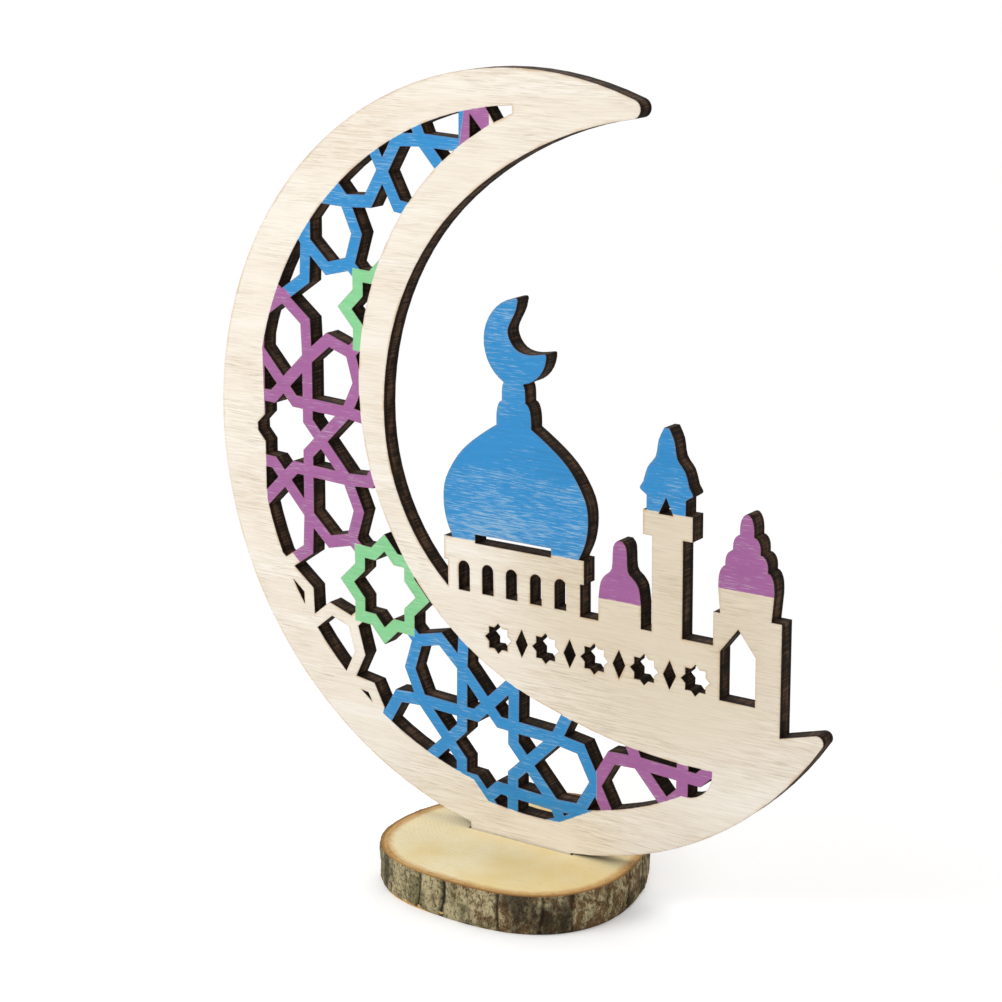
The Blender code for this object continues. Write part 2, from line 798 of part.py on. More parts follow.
def log_wood(material):
    depth = bark_thickness + inner_bark_thickness + 2.0 * growth_gap
    rim = []
    for k in range(log_facets):
        angle = TURN * k / log_facets
        radius = log_reach(angle) - depth
        rim.append((radius * math.cos(angle), radius * math.sin(angle)))
    mesh = bpy.data.meshes.new("log_wood")
    work = bmesh.new()
    face = work.faces.new([work.verts.new((x, y, 0.0)) for x, y in rim])
    pushed = bmesh.ops.extrude_face_region(work, geom=[face])
    moved = [item for item in pushed["geom"] if isinstance(item, bmesh.types.BMVert)]
    bmesh.ops.translate(work, verts=moved, vec=(0.0, 0.0, log_thickness))
    bmesh.ops.recalc_face_normals(work, faces=work.faces)
    work.to_mesh(mesh)
    work.free()
    wood = new_object("log_wood", mesh, material)
    half_long = 0.5 * tab_width + slot_end_play
    half_wide = 0.5 * board_thickness + slot_play
    middle = 0.5 * board_thickness - log_shift[1]
    front = middle - half_wide
    back = middle + half_wide
    low = log_thickness - slot_depth
    high = log_thickness + cut_reach
    slot_loop = [(-half_long, low), (half_long, low), (half_long, high), (-half_long, high)]
    slot = new_object("cut_slot", plate("cut_slot", [slot_loop], front, back))
    cut(wood, slot)
    return wood


def log_slice():
    wood = new_material("log_wood", (0.80, 0.66, 0.42), 0.70)
    inner = new_material("inner_bark", (0.48, 0.29, 0.13), 0.80)
    bark = new_material("bark", (0.21, 0.17, 0.12), 0.92)
    log_wood(wood)
    outer_offset = bark_thickness + growth_gap
    inner_levels = [(0.0, outer_offset, 0.0), (log_thickness, outer_offset, 0.0)]
    finish_ring("log_inner_bark", log_ring(outer_offset + inner_bark_thickness, inner_levels), inner)
    bark_levels = [(0.0, bark_edge_round, 0.0),
                   (bark_low_share * log_thickness, 0.0, 1.0),
                   (bark_middle_share * log_thickness, 0.0, 1.0),
                   (bark_high_share * log_thickness, 0.0, 1.0),
                   (log_thickness, bark_top_round_share * bark_edge_round, bark_top_furrow_share)]
    finish_ring("log_bark", log_ring(bark_thickness, bark_levels), bark)


def main():
    remove_old_objects()
    panel()
    log_slice()


main()
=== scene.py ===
import math
from functools import reduce
import bmesh
import bpy
import numpy as np
from mathutils import Matrix, Vector, geometry, noise


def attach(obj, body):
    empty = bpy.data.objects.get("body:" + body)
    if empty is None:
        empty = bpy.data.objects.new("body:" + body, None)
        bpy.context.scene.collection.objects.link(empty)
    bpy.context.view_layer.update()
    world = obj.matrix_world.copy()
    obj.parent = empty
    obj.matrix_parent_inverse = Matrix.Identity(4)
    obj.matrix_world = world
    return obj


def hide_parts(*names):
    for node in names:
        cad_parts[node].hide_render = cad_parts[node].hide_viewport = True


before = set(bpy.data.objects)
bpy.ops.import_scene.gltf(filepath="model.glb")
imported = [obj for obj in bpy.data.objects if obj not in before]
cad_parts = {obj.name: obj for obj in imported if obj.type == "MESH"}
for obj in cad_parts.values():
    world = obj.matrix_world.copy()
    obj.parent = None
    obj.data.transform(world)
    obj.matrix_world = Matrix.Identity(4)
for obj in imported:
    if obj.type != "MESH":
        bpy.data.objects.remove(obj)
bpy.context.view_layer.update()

# where the crescent's centre stands; shapes of the board are given in mm from there
boardPlace = {"x": 0.0045, "z": 0.109925}


def srgb(red, green, blue):
    # screen colour 0..255 to the linear values the shader wants
    channels = []
    for value in (red, green, blue):
        value /= 255.0
        channels.append(value / 12.92 if value <= 0.04045 else ((value + 0.055) / 1.055) ** 2.4)
    return (*channels, 1.0)


# small helpers for node trees
def addNode(tree, kind, **settings):
    node = tree.nodes.new(kind)
    for name, value in settings.items():
        setattr(node, name, value)
    return node


def plug(tree, socket, value):
    # a socket takes a link from another socket or a plain value
    if isinstance(value, bpy.types.NodeSocket):
        tree.links.new(value, socket)
    elif value is not None:
        socket.default_value = value


def plugAll(tree, node, **values):
    for label, value in values.items():
        plug(tree, node.inputs[label], value)


def calc(tree, operation, first, second=None, third=None, clamp=False):
    node = addNode(tree, "ShaderNodeMath", operation=operation, use_clamp=clamp)
    for socket, value in zip(node.inputs, (first, second, third)):
        plug(tree, socket, value)
    return node.outputs[0]


def plus(tree, first, second, clamp=False):
    return calc(tree, "ADD", first, second, clamp=clamp)


def minus(tree, first, second):
    return calc(tree, "SUBTRACT", first, second)


def times(tree, first, second, clamp=False):
    return calc(tree, "MULTIPLY", first, second, clamp=clamp)


def ramp(tree, value, fromLow, fromHigh, toLow=0.0, toHigh=1.0, smooth=True):
    node = addNode(tree, "ShaderNodeMapRange", clamp=True)
    node.interpolation_type = "SMOOTHSTEP" if smooth else "LINEAR"
    for socket, number in zip(node.inputs, (value, fromLow, fromHigh, toLow, toHigh)):
        plug(tree, socket, number)
    return node.outputs["Result"]


def blend(tree, share, under, over):
    node = addNode(tree, "ShaderNodeMix", data_type="RGBA", blend_type="MIX")
    plug(tree, node.inputs["Factor"], share)
    plug(tree, node.inputs[6], under)
    plug(tree, node.inputs[7], over)
    return node.outputs[2]


def speckle(tree, vector, detail=3.0, rough=0.55, twist=0.0):
    node = addNode(tree, "ShaderNodeTexNoise")
    plugAll(tree, node, Vector=vector, Scale=1.0, Detail=detail, Roughness=rough, Distortion=twist)
    return node.outputs["Fac"]


def grains(tree, vector, scale, detail=3.0, rough=0.55, twist=0.0, move=(0.0, 0.0, 0.0)):
    # noise with its own number of grains per metre along each axis
    node = addNode(tree, "ShaderNodeMapping")
    plugAll(tree, node, Vector=vector, Scale=scale, Location=move)
    return speckle(tree, node.outputs["Vector"], detail, rough, twist)


def splitAxes(tree, vector):
    node = addNode(tree, "ShaderNodeSeparateXYZ")
    plug(tree, node.inputs[0], vector)
    return node.outputs


def vectorCalc(tree, operation, first, second=None):
    node = addNode(tree, "ShaderNodeVectorMath", operation=operation)
    plug(tree, node.inputs[0], first)
    plug(tree, node.inputs[1], second)
    return node.outputs


def lengthOf(tree, across, along):
    return calc(tree, "SQRT", plus(tree, times(tree, across, across), times(tree, along, along)))


def newGroup(name, inputs, outputs, family="ShaderNodeTree"):
    tree = bpy.data.node_groups.new(name, family)
    for label, kind, value in inputs:
        socket = tree.interface.new_socket(name=label, in_out="INPUT", socket_type="NodeSocket" + kind)
        if value is not None:
            socket.default_value = value
    for label, kind in outputs:
        tree.interface.new_socket(name=label, in_out="OUTPUT", socket_type="NodeSocket" + kind)
    return tree, addNode(tree, "NodeGroupInput"), addNode(tree, "NodeGroupOutput")


def useGroup(tree, group, **values):
    node = addNode(tree, "ShaderNodeGroup", node_tree=group)
    plugAll(tree, node, **values)
    return node.outputs


def newMaterial(name, preview):
    material = bpy.data.materials.new(name)
    material.use_nodes = True
    material.diffuse_color = preview
    shader = material.node_tree.nodes["Principled BSDF"]
    coords = addNode(material.node_tree, "ShaderNodeTexCoord").outputs["Object"]
    return material, material.node_tree, shader, coords


def setSheen(shader, rough, specular):
    shader.inputs["Roughness"].default_value = rough
    shader.inputs["Specular IOR Level"].default_value = specular


def bumpInto(tree, shader, height, strength, distance):
    bump = addNode(tree, "ShaderNodeBump")
    plugAll(tree, bump, Strength=strength, Distance=distance, Height=height)
    plug(tree, shader.inputs["Normal"], bump.outputs["Normal"])


def addObject(name, data):
    made = bpy.data.objects.new(name, data)
    bpy.context.collection.objects.link(made)
    return made


# shader groups that several finishes share
def makeWoodGrain():
    # fine short streaks along one axis, a broad figure and pores
    tree, given, put = newGroup("woodGrain", [("Vector", "Vector", None), ("Wave", "Float", 0.0013)], [
        ("Figure", "Float"), ("Streak", "Float"), ("Pore", "Float"), ("Height", "Float")])
    vector = given.outputs["Vector"]
    # the grain drifts up and down a little along its length
    drift = grains(tree, vector, (45.0, 1.0, 90.0))
    lift = times(tree, minus(tree, drift, 0.5), given.outputs["Wave"])
    move = addNode(tree, "ShaderNodeCombineXYZ")
    plug(tree, move.inputs["Z"], lift)
    bent = vectorCalc(tree, "ADD", vector, move.outputs["Vector"])["Vector"]
    figure = grains(tree, bent, (9.0, 9.0, 120.0))
    streak = grains(tree, bent, (105.0, 400.0, 2700.0), 4.0, 0.7)
    pore = grains(tree, bent, (125.0, 700.0, 3900.0), 3.0, 0.6, move=(3.1, 0.4, 1.7))
    patch = grains(tree, bent, (30.0, 1.0, 75.0), 2.0, move=(5.0, 0.0, 2.0))
    patch = ramp(tree, patch, 0.36, 0.64, 0.35, 1.0)
    plugAll(tree, put, Figure=ramp(tree, figure, 0.32, 0.68),
            Streak=times(tree, ramp(tree, streak, 0.38, 0.68), patch),
            Pore=times(tree, ramp(tree, pore, 0.55, 0.69), patch),
            Height=minus(tree, times(tree, streak, 0.6), times(tree, pore, 0.7)))
    return tree


def makeLaserChar():
    # burnt wall of a laser cut: soot with striations across the board
    tree, given, put = newGroup("laserChar", [
        ("Vector", "Vector", None), ("Ash", "Float", 0.5), ("Soot", "Color", srgb(30, 23, 20)),
        ("Burnt", "Color", srgb(92, 66, 52))], [("Color", "Color"), ("Height", "Float")])
    vector = given.outputs["Vector"]
    strip = grains(tree, vector, (2600.0, 90.0, 2600.0), 3.0, 0.6)
    patch = grains(tree, vector, (150.0, 420.0, 150.0), 2.0)
    burntAndShade = ramp(tree, plus(tree, times(tree, strip, 0.55), times(tree, patch, 0.45)), 0.42, 0.66)
    burntAndShade = times(tree, burntAndShade, given.outputs["Ash"], clamp=True)
    tone = blend(tree, burntAndShade, given.outputs["Soot"], given.outputs["Burnt"])
    plugAll(tree, put, Color=tone, Height=strip)
    return tree


def makeLogRim():
    # depth in mm of a spot of the log slice inside its outline
    tree, given, put = newGroup("logRim", [("Vector", "Vector", None)], [("Depth", "Float")])
    split = splitAxes(tree, given.outputs["Vector"])
    angle = calc(tree, "ARCTAN2", split["Y"], split["X"])
    outline = logShape["radius"]
    for count, size, phase in logShape["waves"]:
        turn = calc(tree, "MULTIPLY_ADD", angle, float(count), math.radians(phase))
        outline = calc(tree, "MULTIPLY_ADD", calc(tree, "COSINE", turn), size, outline)
    depth = minus(tree, outline, lengthOf(tree, split["X"], split["Y"]))
    plug(tree, put.inputs["Depth"], times(tree, depth, 1000.0))
    return tree


logShape = {
    "radius": 0.0343, "height": 0.0103, "bark": 0.00115, "innerBark": 0.0007, "gap": 0.0001,
    "waves": ((2, 0.0004, -55.0), (3, 0.0016, 100.0), (4, 0.0006, 175.0)),
    "edgeRound": 0.0008, "slotHalf": (0.0161, 0.0028), "slotMiddle": 0.0019,
}
woodGrain = makeWoodGrain()
laserChar = makeLaserChar()
logRim = makeLogRim()

# printed colours of the board
printInks = {
    "blue": srgb(38, 139, 202),
    "purple": srgb(163, 95, 153),
    "green": srgb(134, 208, 146),
    "fibre": srgb(222, 236, 226),    # fibres that the ink missed
    "softEdge": 0.10,        # mm over which the print fades at its border
    "raggedEdge": 0.22,      # mm that the border wanders with the grain
}
windowShape = {
    "outerRadius": 88.0, "sillRadius": 92.0, "sillTop": -80.0,
    "sillLeft": ((-19.0, -85.9), (-14.4, -90.9)), "sillRight": ((6.9, -92.1), (17.7, -86.3)),
    "printLeft": -85.55, "printTop": 60.0, "printTopRight": -12.0,
    "innerCentre": (24.4, 13.8), "innerRadius": 78.0,
    "lowerArc": ((5.5, -61.9), (24.0, -66.4), (51.8, -68.4)),
    "endCentre": (44.2, -69.0), "endRadius": 7.64, "endOverlap": 0.5, "endLeft": 30.0,
}
inkBorders = {
    "bareTop": -36.5, "bareCorner": ((-75.3, -36.2), (-79.0, -33.0)), "bareCornerRight": -70.0,
    "bareSlope": ((-45.5, -64.0), (-48.4, -74.4)), "bareRight": -40.0,
    "purpleTop": 35.0, "slantFrom": -75.0, "slant": 0.818, "purpleFoot": -45.0, "purpleRight": -30.0,
    "lowPurple": (18.8, -60.0), "tipPurple": ((-19.0, 88.0), (-20.8, 78.0)),
    "town": ((27.6, 8.4), 70.0),
    "dome": (-21.55, None, 17.8), "spire": (-5.8, 28.0, 49.5), "towerTop": (-21.8, 50.5),
    "cupola": (-30.1, -11.0, 18.2, 31.7),
}
starShape = {
    "half": (8.05, 8.95), "reach": (12.3, 12.7), "halfStrap": 1.65, "lean": 0.02, "drop": 0.05,
    "lowerCentre": (-46.8, -39.4), "upperCentre": (-45.3, 33.3),
}

thinInk = {
    "domeTop": 12.0, "domeRows": (-0.5, -4.5), "domeShares": (-0.9, 1.0),
    "finialCentre": (-12.0, 31.0), "finialRadius": 10.0, "finialSoft": 3.0, "finialShare": 0.8,
}


def circleThrough(p, q, r):
    ax, az, bx, bz = q[0] - p[0], q[1] - p[1], r[0] - p[0], r[1] - p[1]
    cross = 2.0 * (ax * bz - az * bx)
    aa, bb = ax * ax + az * az, bx * bx + bz * bz
    ux, uz = (bz * aa - az * bb) / cross, (ax * bb - bx * aa) / cross
    return (p[0] + ux, p[1] + uz), math.hypot(ux, uz)


def makePrintZones():
    # masks of the three inks over the board's face, worked out as distances in mm
    tree, given, put = newGroup("printZones", [("Vector", "Vector", None)], [
        ("Blue", "Float"), ("Purple", "Float"), ("Green", "Float"), ("Thin", "Float")])
    split = splitAxes(tree, given.outputs["Vector"])
    ragged = grains(tree, given.outputs["Vector"], (500.0, 1.0, 1500.0), 2.0)
    ragged = times(tree, minus(tree, ragged, 0.5), printInks["raggedEdge"] * 2.0)

    def mm(socket, zero):
        return times(tree, minus(tree, socket, zero), 1000.0)

    u = mm(split["X"], boardPlace["x"])
    v = plus(tree, mm(split["Z"], boardPlace["z"]), ragged)

    # distances below are negative inside the shape
    def both(*parts):
        return reduce(lambda first, second: calc(tree, "MAXIMUM", first, second), parts)

    def either(*parts):
        return reduce(lambda first, second: calc(tree, "MINIMUM", first, second), parts)

    def outside(part):
        return times(tree, part, -1.0)

    def disc(centre, radius):
        reach = lengthOf(tree, minus(tree, u, centre[0]), minus(tree, v, centre[1]))
        return minus(tree, reach, radius)

    def side(start, end):
        # negative to the left of the line that runs from start to end
        dx, dz = end[0] - start[0], end[1] - start[1]
        length = math.hypot(dx, dz)
        across = times(tree, minus(tree, u, start[0]), dz / length)
        up = times(tree, minus(tree, v, start[1]), -dx / length)
        return plus(tree, across, up)

    def rightOf(place):
        return minus(tree, place, u)

    def leftOf(place):
        return minus(tree, u, place)

    def above(place):
        return minus(tree, place, v)

    def below(place):
        return minus(tree, v, place)

    def star(centre):
        s = minus(tree, u, centre[0])
        t = minus(tree, v, centre[1])
        straightS = calc(tree, "ABSOLUTE", minus(tree, s, times(tree, t, starShape["lean"])))
        straightT = calc(tree, "ABSOLUTE", plus(tree, t, times(tree, s, starShape["drop"])))
        half, reach, strap = starShape["half"], starShape["reach"], starShape["halfStrap"]
        square = both(minus(tree, straightS, half[0] + strap), minus(tree, straightT, half[1] + strap))
        slope = plus(tree, calc(tree, "DIVIDE", straightS, reach[0]),
                     calc(tree, "DIVIDE", straightT, reach[1]))
        flat = 1.0 / math.hypot(1.0 / reach[0], 1.0 / reach[1])
        diamond = minus(tree, times(tree, minus(tree, slope, 1.0), flat), strap)
        return either(square, diamond)

    def mask(part):
        soft = printInks["softEdge"]
        return ramp(tree, part, -soft, soft, 1.0, 0.0)

    shape = windowShape
    sill = both(disc((0.0, 0.0), shape["sillRadius"]), below(shape["sillTop"]),
                side(*shape["sillLeft"]), side(*shape["sillRight"]))
    outer = either(disc((0.0, 0.0), shape["outerRadius"]), sill)
    lowCentre, lowRadius = circleThrough(*shape["lowerArc"])
    inner = either(disc(shape["innerCentre"], shape["innerRadius"]),
                   both(disc(lowCentre, lowRadius), rightOf(shape["lowerArc"][0][0])))
    lowEnd = disc(shape["endCentre"], shape["endRadius"])
    outer = both(outer, leftOf(shape["endCentre"][0] - shape["endOverlap"]))
    window = both(either(outer, both(lowEnd, rightOf(shape["endLeft"]))), outside(inner),
                  rightOf(shape["printLeft"]),
                  either(below(shape["printTop"]), leftOf(shape["printTopRight"])))

    greenStars = both(either(star(starShape["lowerCentre"]), star(starShape["upperCentre"])), window)
    # the straps at the lower left stay bare
    border = inkBorders
    bareCorner = both(side(*border["bareCorner"]), leftOf(border["bareCornerRight"]))
    bareTop = either(below(border["bareTop"]), bareCorner)
    bare = both(outside(side(*border["bareSlope"])), bareTop, leftOf(border["bareRight"]))
    past = calc(tree, "MAXIMUM", minus(tree, border["slantFrom"], u), 0.0)
    belowSlant = minus(tree, minus(tree, v, border["purpleTop"]), times(tree, past, border["slant"]))
    leftPurple = both(belowSlant, above(border["purpleFoot"]), leftOf(border["purpleRight"]))
    lowPurple = both(rightOf(border["lowPurple"][0]), below(border["lowPurple"][1]))
    tipPurple = both(side(*border["tipPurple"]), above(shape["printTop"]))
    purpleStraps = either(leftPurple, lowPurple, tipPurple)
    strapArea = both(window, outside(bare), outside(greenStars))

    def roof(low, left=None, right=None):
        # part of the town above a level, between two uprights
        parts = [disc(*border["town"]), above(low)]
        parts += [rightOf(left)] if left is not None else []
        parts += [leftOf(right)] if right is not None else []
        return both(*parts)

    low, high, left, right = border["cupola"]
    cupola = both(above(low), below(high), rightOf(left), leftOf(right))
    dome, spire, towerTop = (roof(*border[name]) for name in ("dome", "spire", "towerTop"))

    purple = either(both(strapArea, purpleStraps), cupola, towerTop)
    blue = either(both(strapArea, outside(purpleStraps)), dome, spire)
    # ink lies thin on the dome's lower part and the finial's left side, thick on the dome's upper part
    body = mask(both(dome, below(thinInk["domeTop"])))
    body = times(tree, ramp(tree, v, *thinInk["domeRows"], *thinInk["domeShares"]), body)
    finial = disc(thinInk["finialCentre"], thinInk["finialRadius"])
    finial = ramp(tree, finial, -thinInk["finialSoft"], 0.0, thinInk["finialShare"], 0.0)
    plugAll(tree, put, Green=mask(greenStars), Purple=mask(purple), Blue=mask(blue),
            Thin=plus(tree, body, finial))
    return tree


printZones = makePrintZones()
print("shader groups ready")

# finishes of the board
veneerLook = {
    "pale": srgb(246, 239, 227), "warm": srgb(239, 228, 211), "streak": srgb(208, 191, 165),
    "pore": srgb(160, 141, 117), "streakShare": 0.66, "poreShare": 0.50,
    "backPale": srgb(226, 206, 176), "backWarm": srgb(207, 182, 148),
    "singe": srgb(196, 150, 84), "rim": srgb(104, 72, 48),
    # painted shade over the towers, where the light falls off
    "paintedShade": srgb(223, 208, 182), "paintedShadeCentre": (0.041, 0.0, 0.084), "paintedShadeReach": (0.058, 0.024),
    "paintedShadeShare": 0.80, "paintedShadeStreak": 0.4,
}


def veneerColour(tree, coords, pale, warm):
    grain = useGroup(tree, woodGrain, Vector=coords)
    base = blend(tree, grain["Figure"], pale, warm)
    # painted shade: a broad darker patch of the sheet over the towers, where the light falls off, with the
    # grain streaks stronger in it
    middle = vectorCalc(tree, "DISTANCE", coords, veneerLook["paintedShadeCentre"])["Value"]
    paintedShade = ramp(tree, middle, *veneerLook["paintedShadeReach"], 0.0, veneerLook["paintedShadeShare"])
    base = blend(tree, paintedShade, base, veneerLook["paintedShade"])
    lines = calc(tree, "MULTIPLY_ADD", paintedShade, veneerLook["paintedShadeStreak"], veneerLook["streakShare"])
    base = blend(tree, times(tree, grain["Streak"], lines, clamp=True), base, veneerLook["streak"])
    base = blend(tree, times(tree, grain["Pore"], veneerLook["poreShare"]), base, veneerLook["pore"])
    return base, grain


def singeShare(tree, coords, strength):
    # smoke stain beside the cuts, strongest in patches, and the burnt rim itself
    gap = addNode(tree, "ShaderNodeAttribute", attribute_name="edgeGap").outputs["Fac"]
    patch = grains(tree, coords, (120.0, 1.0, 120.0), 2.0)
    patch = ramp(tree, patch, 0.42, 0.70, 0.15, 1.0)
    stain = times(tree, ramp(tree, gap, 0.9, 0.05), times(tree, patch, strength))
    return stain, ramp(tree, gap, 0.16, 0.03, 0.0, 0.55)


def makePrintedFace():
    material, tree, shader, coords = newMaterial("printedVeneer", veneerLook["pale"])
    bare, grain = veneerColour(tree, coords, veneerLook["pale"], veneerLook["warm"])
    zones = useGroup(tree, printZones, Vector=coords)
    # ink misses the raised fibres: thin pale dashes along the grain
    dash = grains(tree, coords, (210.0, 300.0, 4700.0), 3.0, 0.65, move=(0.0, 0.0, 4.2))
    cloud = grains(tree, coords, (60.0, 1.0, 110.0), 2.0, move=(1.9, 0.0, 2.3))
    cloud = ramp(tree, cloud, 0.35, 0.70)
    start = minus(tree, minus(tree, 0.60, times(tree, cloud, 0.09)), times(tree, zones["Thin"], 0.07))
    missed = ramp(tree, minus(tree, dash, start), 0.0, 0.13)
    colour = bare
    inks = (("Blue", "blue"), ("Purple", "purple"), ("Green", "green"))
    covered = 0.0
    for label, ink in inks:
        full, bareWood = printInks[ink], printInks["fibre"]
        deep = (*(0.68 * c for c in full[:3]), 1.0)
        faint = (*(0.35 * c + 0.65 * p for c, p in zip(full[:3], bareWood[:3])), 1.0)
        tone = blend(tree, times(tree, grain["Streak"], 0.55), full, deep)
        tone = blend(tree, times(tree, missed, 0.5), tone, faint)
        colour = blend(tree, zones[label], colour, tone)
        covered = plus(tree, covered, zones[label], clamp=True)
    strength = ramp(tree, covered, 0.0, 1.0, 0.55, 0.12)
    stain, rim = singeShare(tree, coords, strength)
    colour = blend(tree, stain, colour, veneerLook["singe"])
    colour = blend(tree, rim, colour, veneerLook["rim"])
    plug(tree, shader.inputs["Base Color"], colour)
    rough = plus(tree, ramp(tree, covered, 0.0, 1.0, 0.58, 0.42), times(tree, missed, 0.14))
    plug(tree, shader.inputs["Roughness"], rough)
    shader.inputs["Specular IOR Level"].default_value = 0.35
    bumpInto(tree, shader, grain["Height"], 0.35, 0.00012)
    return material


def makeBareFace(name, pale, warm, strength):
    material, tree, shader, coords = newMaterial(name, pale)
    bare, grain = veneerColour(tree, coords, pale, warm)
    stain, rim = singeShare(tree, coords, strength)
    colour = blend(tree, stain, bare, veneerLook["singe"])
    plug(tree, shader.inputs["Base Color"], blend(tree, rim, colour, veneerLook["rim"]))
    setSheen(shader, 0.62, 0.3)
    bumpInto(tree, shader, grain["Height"], 0.4, 0.00012)
    return material


def makeCutWall(name, soot, burntAndShade, ash):
    material, tree, shader, coords = newMaterial(name, soot)
    char = useGroup(tree, laserChar, Vector=coords, Soot=soot, Burnt=burntAndShade, Ash=ash)
    plug(tree, shader.inputs["Base Color"], char["Color"])
    setSheen(shader, 0.85, 0.1)
    bumpInto(tree, shader, char["Height"], 0.5, 0.0001)
    return material


cutLook = {
    "faceSootAndSlotShade": srgb(24, 17, 12), "faceBurnt": srgb(74, 54, 38),
    "coreSoot": srgb(30, 22, 16), "coreBurnt": srgb(98, 74, 54),
}
printedFace = makePrintedFace()
backFace = makeBareFace("backVeneer", veneerLook["backPale"], veneerLook["backWarm"], 0.85)
faceWall = makeCutWall("faceCut", cutLook["faceSootAndSlotShade"], cutLook["faceBurnt"], 0.45)
coreWall = makeCutWall("coreCut", cutLook["coreSoot"], cutLook["coreBurnt"], 0.95)
print("board finishes ready")

# the three plies of the board, drawn again from the cut solids' own outlines
plyLook = {
    "weld": 1e-6, "rimDrop": 0.00008, "longestStep": 0.0016,
    "rows": (0.00009, 0.00032, 0.00075, 0.0014), "rowStep": 0.0008, "rowSlack": 0.06,
    "fieldStep": 0.0024, "fieldClear": 0.0005, "closest": 0.00022, "leastTurn": 0.2, "sharpAngle": 28.0,
}


def depthsOf(nodeName):
    depths = [vert.co.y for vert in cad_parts[nodeName].data.vertices]
    return min(depths), max(depths)


def cutLoops(nodeName):
    # closed outlines of a ply as (x, z) points
    work = bmesh.new()
    work.from_mesh(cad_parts[nodeName].data)
    bmesh.ops.remove_doubles(work, verts=work.verts, dist=plyLook["weld"])
    rims = {}
    for edge in work.edges:
        front = [face for face in edge.link_faces if face.normal.y < -0.9]
        if len(front) == 1:
            for near, far in (edge.verts, reversed(edge.verts)):
                rims.setdefault(near.index, []).append(far.index)
    spots = {vert.index: (vert.co.x, vert.co.z) for vert in work.verts}
    work.free()
    loops, left = [], set(rims)
    while left:
        first = left.pop()
        loop, here = [first], rims[first][0]
        while here != first:
            loop.append(here)
            left.discard(here)
            ahead = [n for n in rims[here] if n != loop[-2]]
            here = ahead[0]
        loops.append([spots[index] for index in loop])
    return loops


def between(start, end, longest):
    # the start and points on the way to the end
    count = max(1, math.ceil(math.dist(start, end) / longest))
    return [(start[0] + k / count * (end[0] - start[0]), start[1] + k / count * (end[1] - start[1]))
            for k in range(count)]


def divided(loop, longest):
    # adds points to long straight stretches
    return [point for start, end in zip(loop, loop[1:] + loop[:1]) for point in between(start, end, longest)]


def gapsTo(points, loops):
    # distance of each point to the nearest outline
    starts = np.array([p for loop in loops for p in loop])
    ends = np.array([p for loop in loops for p in loop[1:] + loop[:1]])
    ways = ends - starts
    squares = (ways ** 2).sum(axis=1)
    nearest = []
    for block in np.array_split(points, max(1, len(points) // 400)):
        along = ((block[:, None, :] - starts) * ways).sum(axis=2) / squares
        foot = starts + np.clip(along, 0.0, 1.0)[:, :, None] * ways
        nearest.append(np.sqrt(((block[:, None, :] - foot) ** 2).sum(axis=2)).min(axis=1))
    return np.concatenate(nearest)


def fieldPoints(loops):
    # points in rows beside every outline and on a grid between them
    look, wanted, spots = plyLook, [], []
    for loop in loops:
        # beyond every corner, on both sides of it
        for before, here, after in zip(loop[-1:] + loop[:-1], loop, loop[1:] + loop[:1]):
            came = (Vector(here) - Vector(before)).normalized()
            goes = (Vector(after) - Vector(here)).normalized()
            turn = came - goes
            if turn.length < look["leastTurn"]:
                continue
            turn.normalize()
            mitre = 1.0 / max(0.3, math.sqrt(0.5 + 0.5 * came.dot(goes)))
            for row in look["rows"]:
                for reach in (row, -row, mitre * row, -mitre * row):
                    spots.append((here[0] + reach * turn.x, here[1] + reach * turn.y))
                    wanted.append(row)
        for start, end in zip(loop, loop[1:] + loop[:1]):
            length = math.dist(start, end)
            if length < look["weld"]:
                continue
            side = ((end[1] - start[1]) / length, -(end[0] - start[0]) / length)
            count = max(1, round(length / look["rowStep"]))
            for row in look["rows"]:
                for k in range(count):
                    share = (k + 0.5) / count
                    x = start[0] + share * (end[0] - start[0])
                    z = start[1] + share * (end[1] - start[1])
                    for way in (-row, row):
                        spots.append((x + way * side[0], z + way * side[1]))
                        wanted.append(row)
    wide = [p[0] for loop in loops for p in loop]
    tall = [p[1] for loop in loops for p in loop]
    step = look["fieldStep"]
    for i in range(math.ceil((max(wide) - min(wide)) / step)):
        for k in range(math.ceil((max(tall) - min(tall)) / step)):
            spots.append((min(wide) + (i + 0.5 * (k % 2)) * step, min(tall) + k * step))
            wanted.append(0.0)
    gaps = gapsTo(np.array(spots), loops)
    kept, taken = [], set()
    for spot, row, gap in zip(spots, wanted, gaps):
        if row and abs(gap - row) > look["rowSlack"] * row:
            continue
        if not row and gap < look["rows"][-1] + look["fieldClear"]:
            continue
        size = look["closest"] if row > look["rows"][0] else look["rowStep"] / 9.0
        cell = (round(spot[0] / size), round(spot[1] / size), row > look["rows"][0])
        if cell not in taken:
            taken.add(cell)
            kept.append((spot, gap))
    return kept


def triangles(loops, inner):
    # fills the ply's outline, leaving its openings out
    flat, edges = [], []
    for loop in loops:
        first = len(flat)
        flat += [Vector(p) * 1000.0 for p in loop]
        edges += [(first + k, first + (k + 1) % len(loop)) for k in range(len(loop))]
    flat += [Vector(p) * 1000.0 for p, gap in inner]
    verts, _, faces, origin = geometry.delaunay_2d_cdt(flat, edges, [], 0, 1e-5)[:4]
    starts = np.array([flat[a] for a, b in edges])
    ends = np.array([flat[b] for a, b in edges])
    middles = np.array([(verts[a] + verts[b] + verts[c]) / 3.0 for a, b, c in faces])
    inside = np.zeros(len(faces), bool)
    for (ax, az), (bx, bz) in zip(starts, ends):
        spans = (middles[:, 1] < az) != (middles[:, 1] < bz)
        if abs(bz - az) > 0.0:
            across = ax + (middles[:, 1] - az) * (bx - ax) / (bz - az)
            inside ^= spans & (middles[:, 0] < across)
    names = [min(ids) if ids else None for ids in origin]
    result = [tuple(names[v] for v in face) for face, keep in zip(faces, inside) if keep]
    return [face for face in result if None not in face and len(set(face)) == 3]


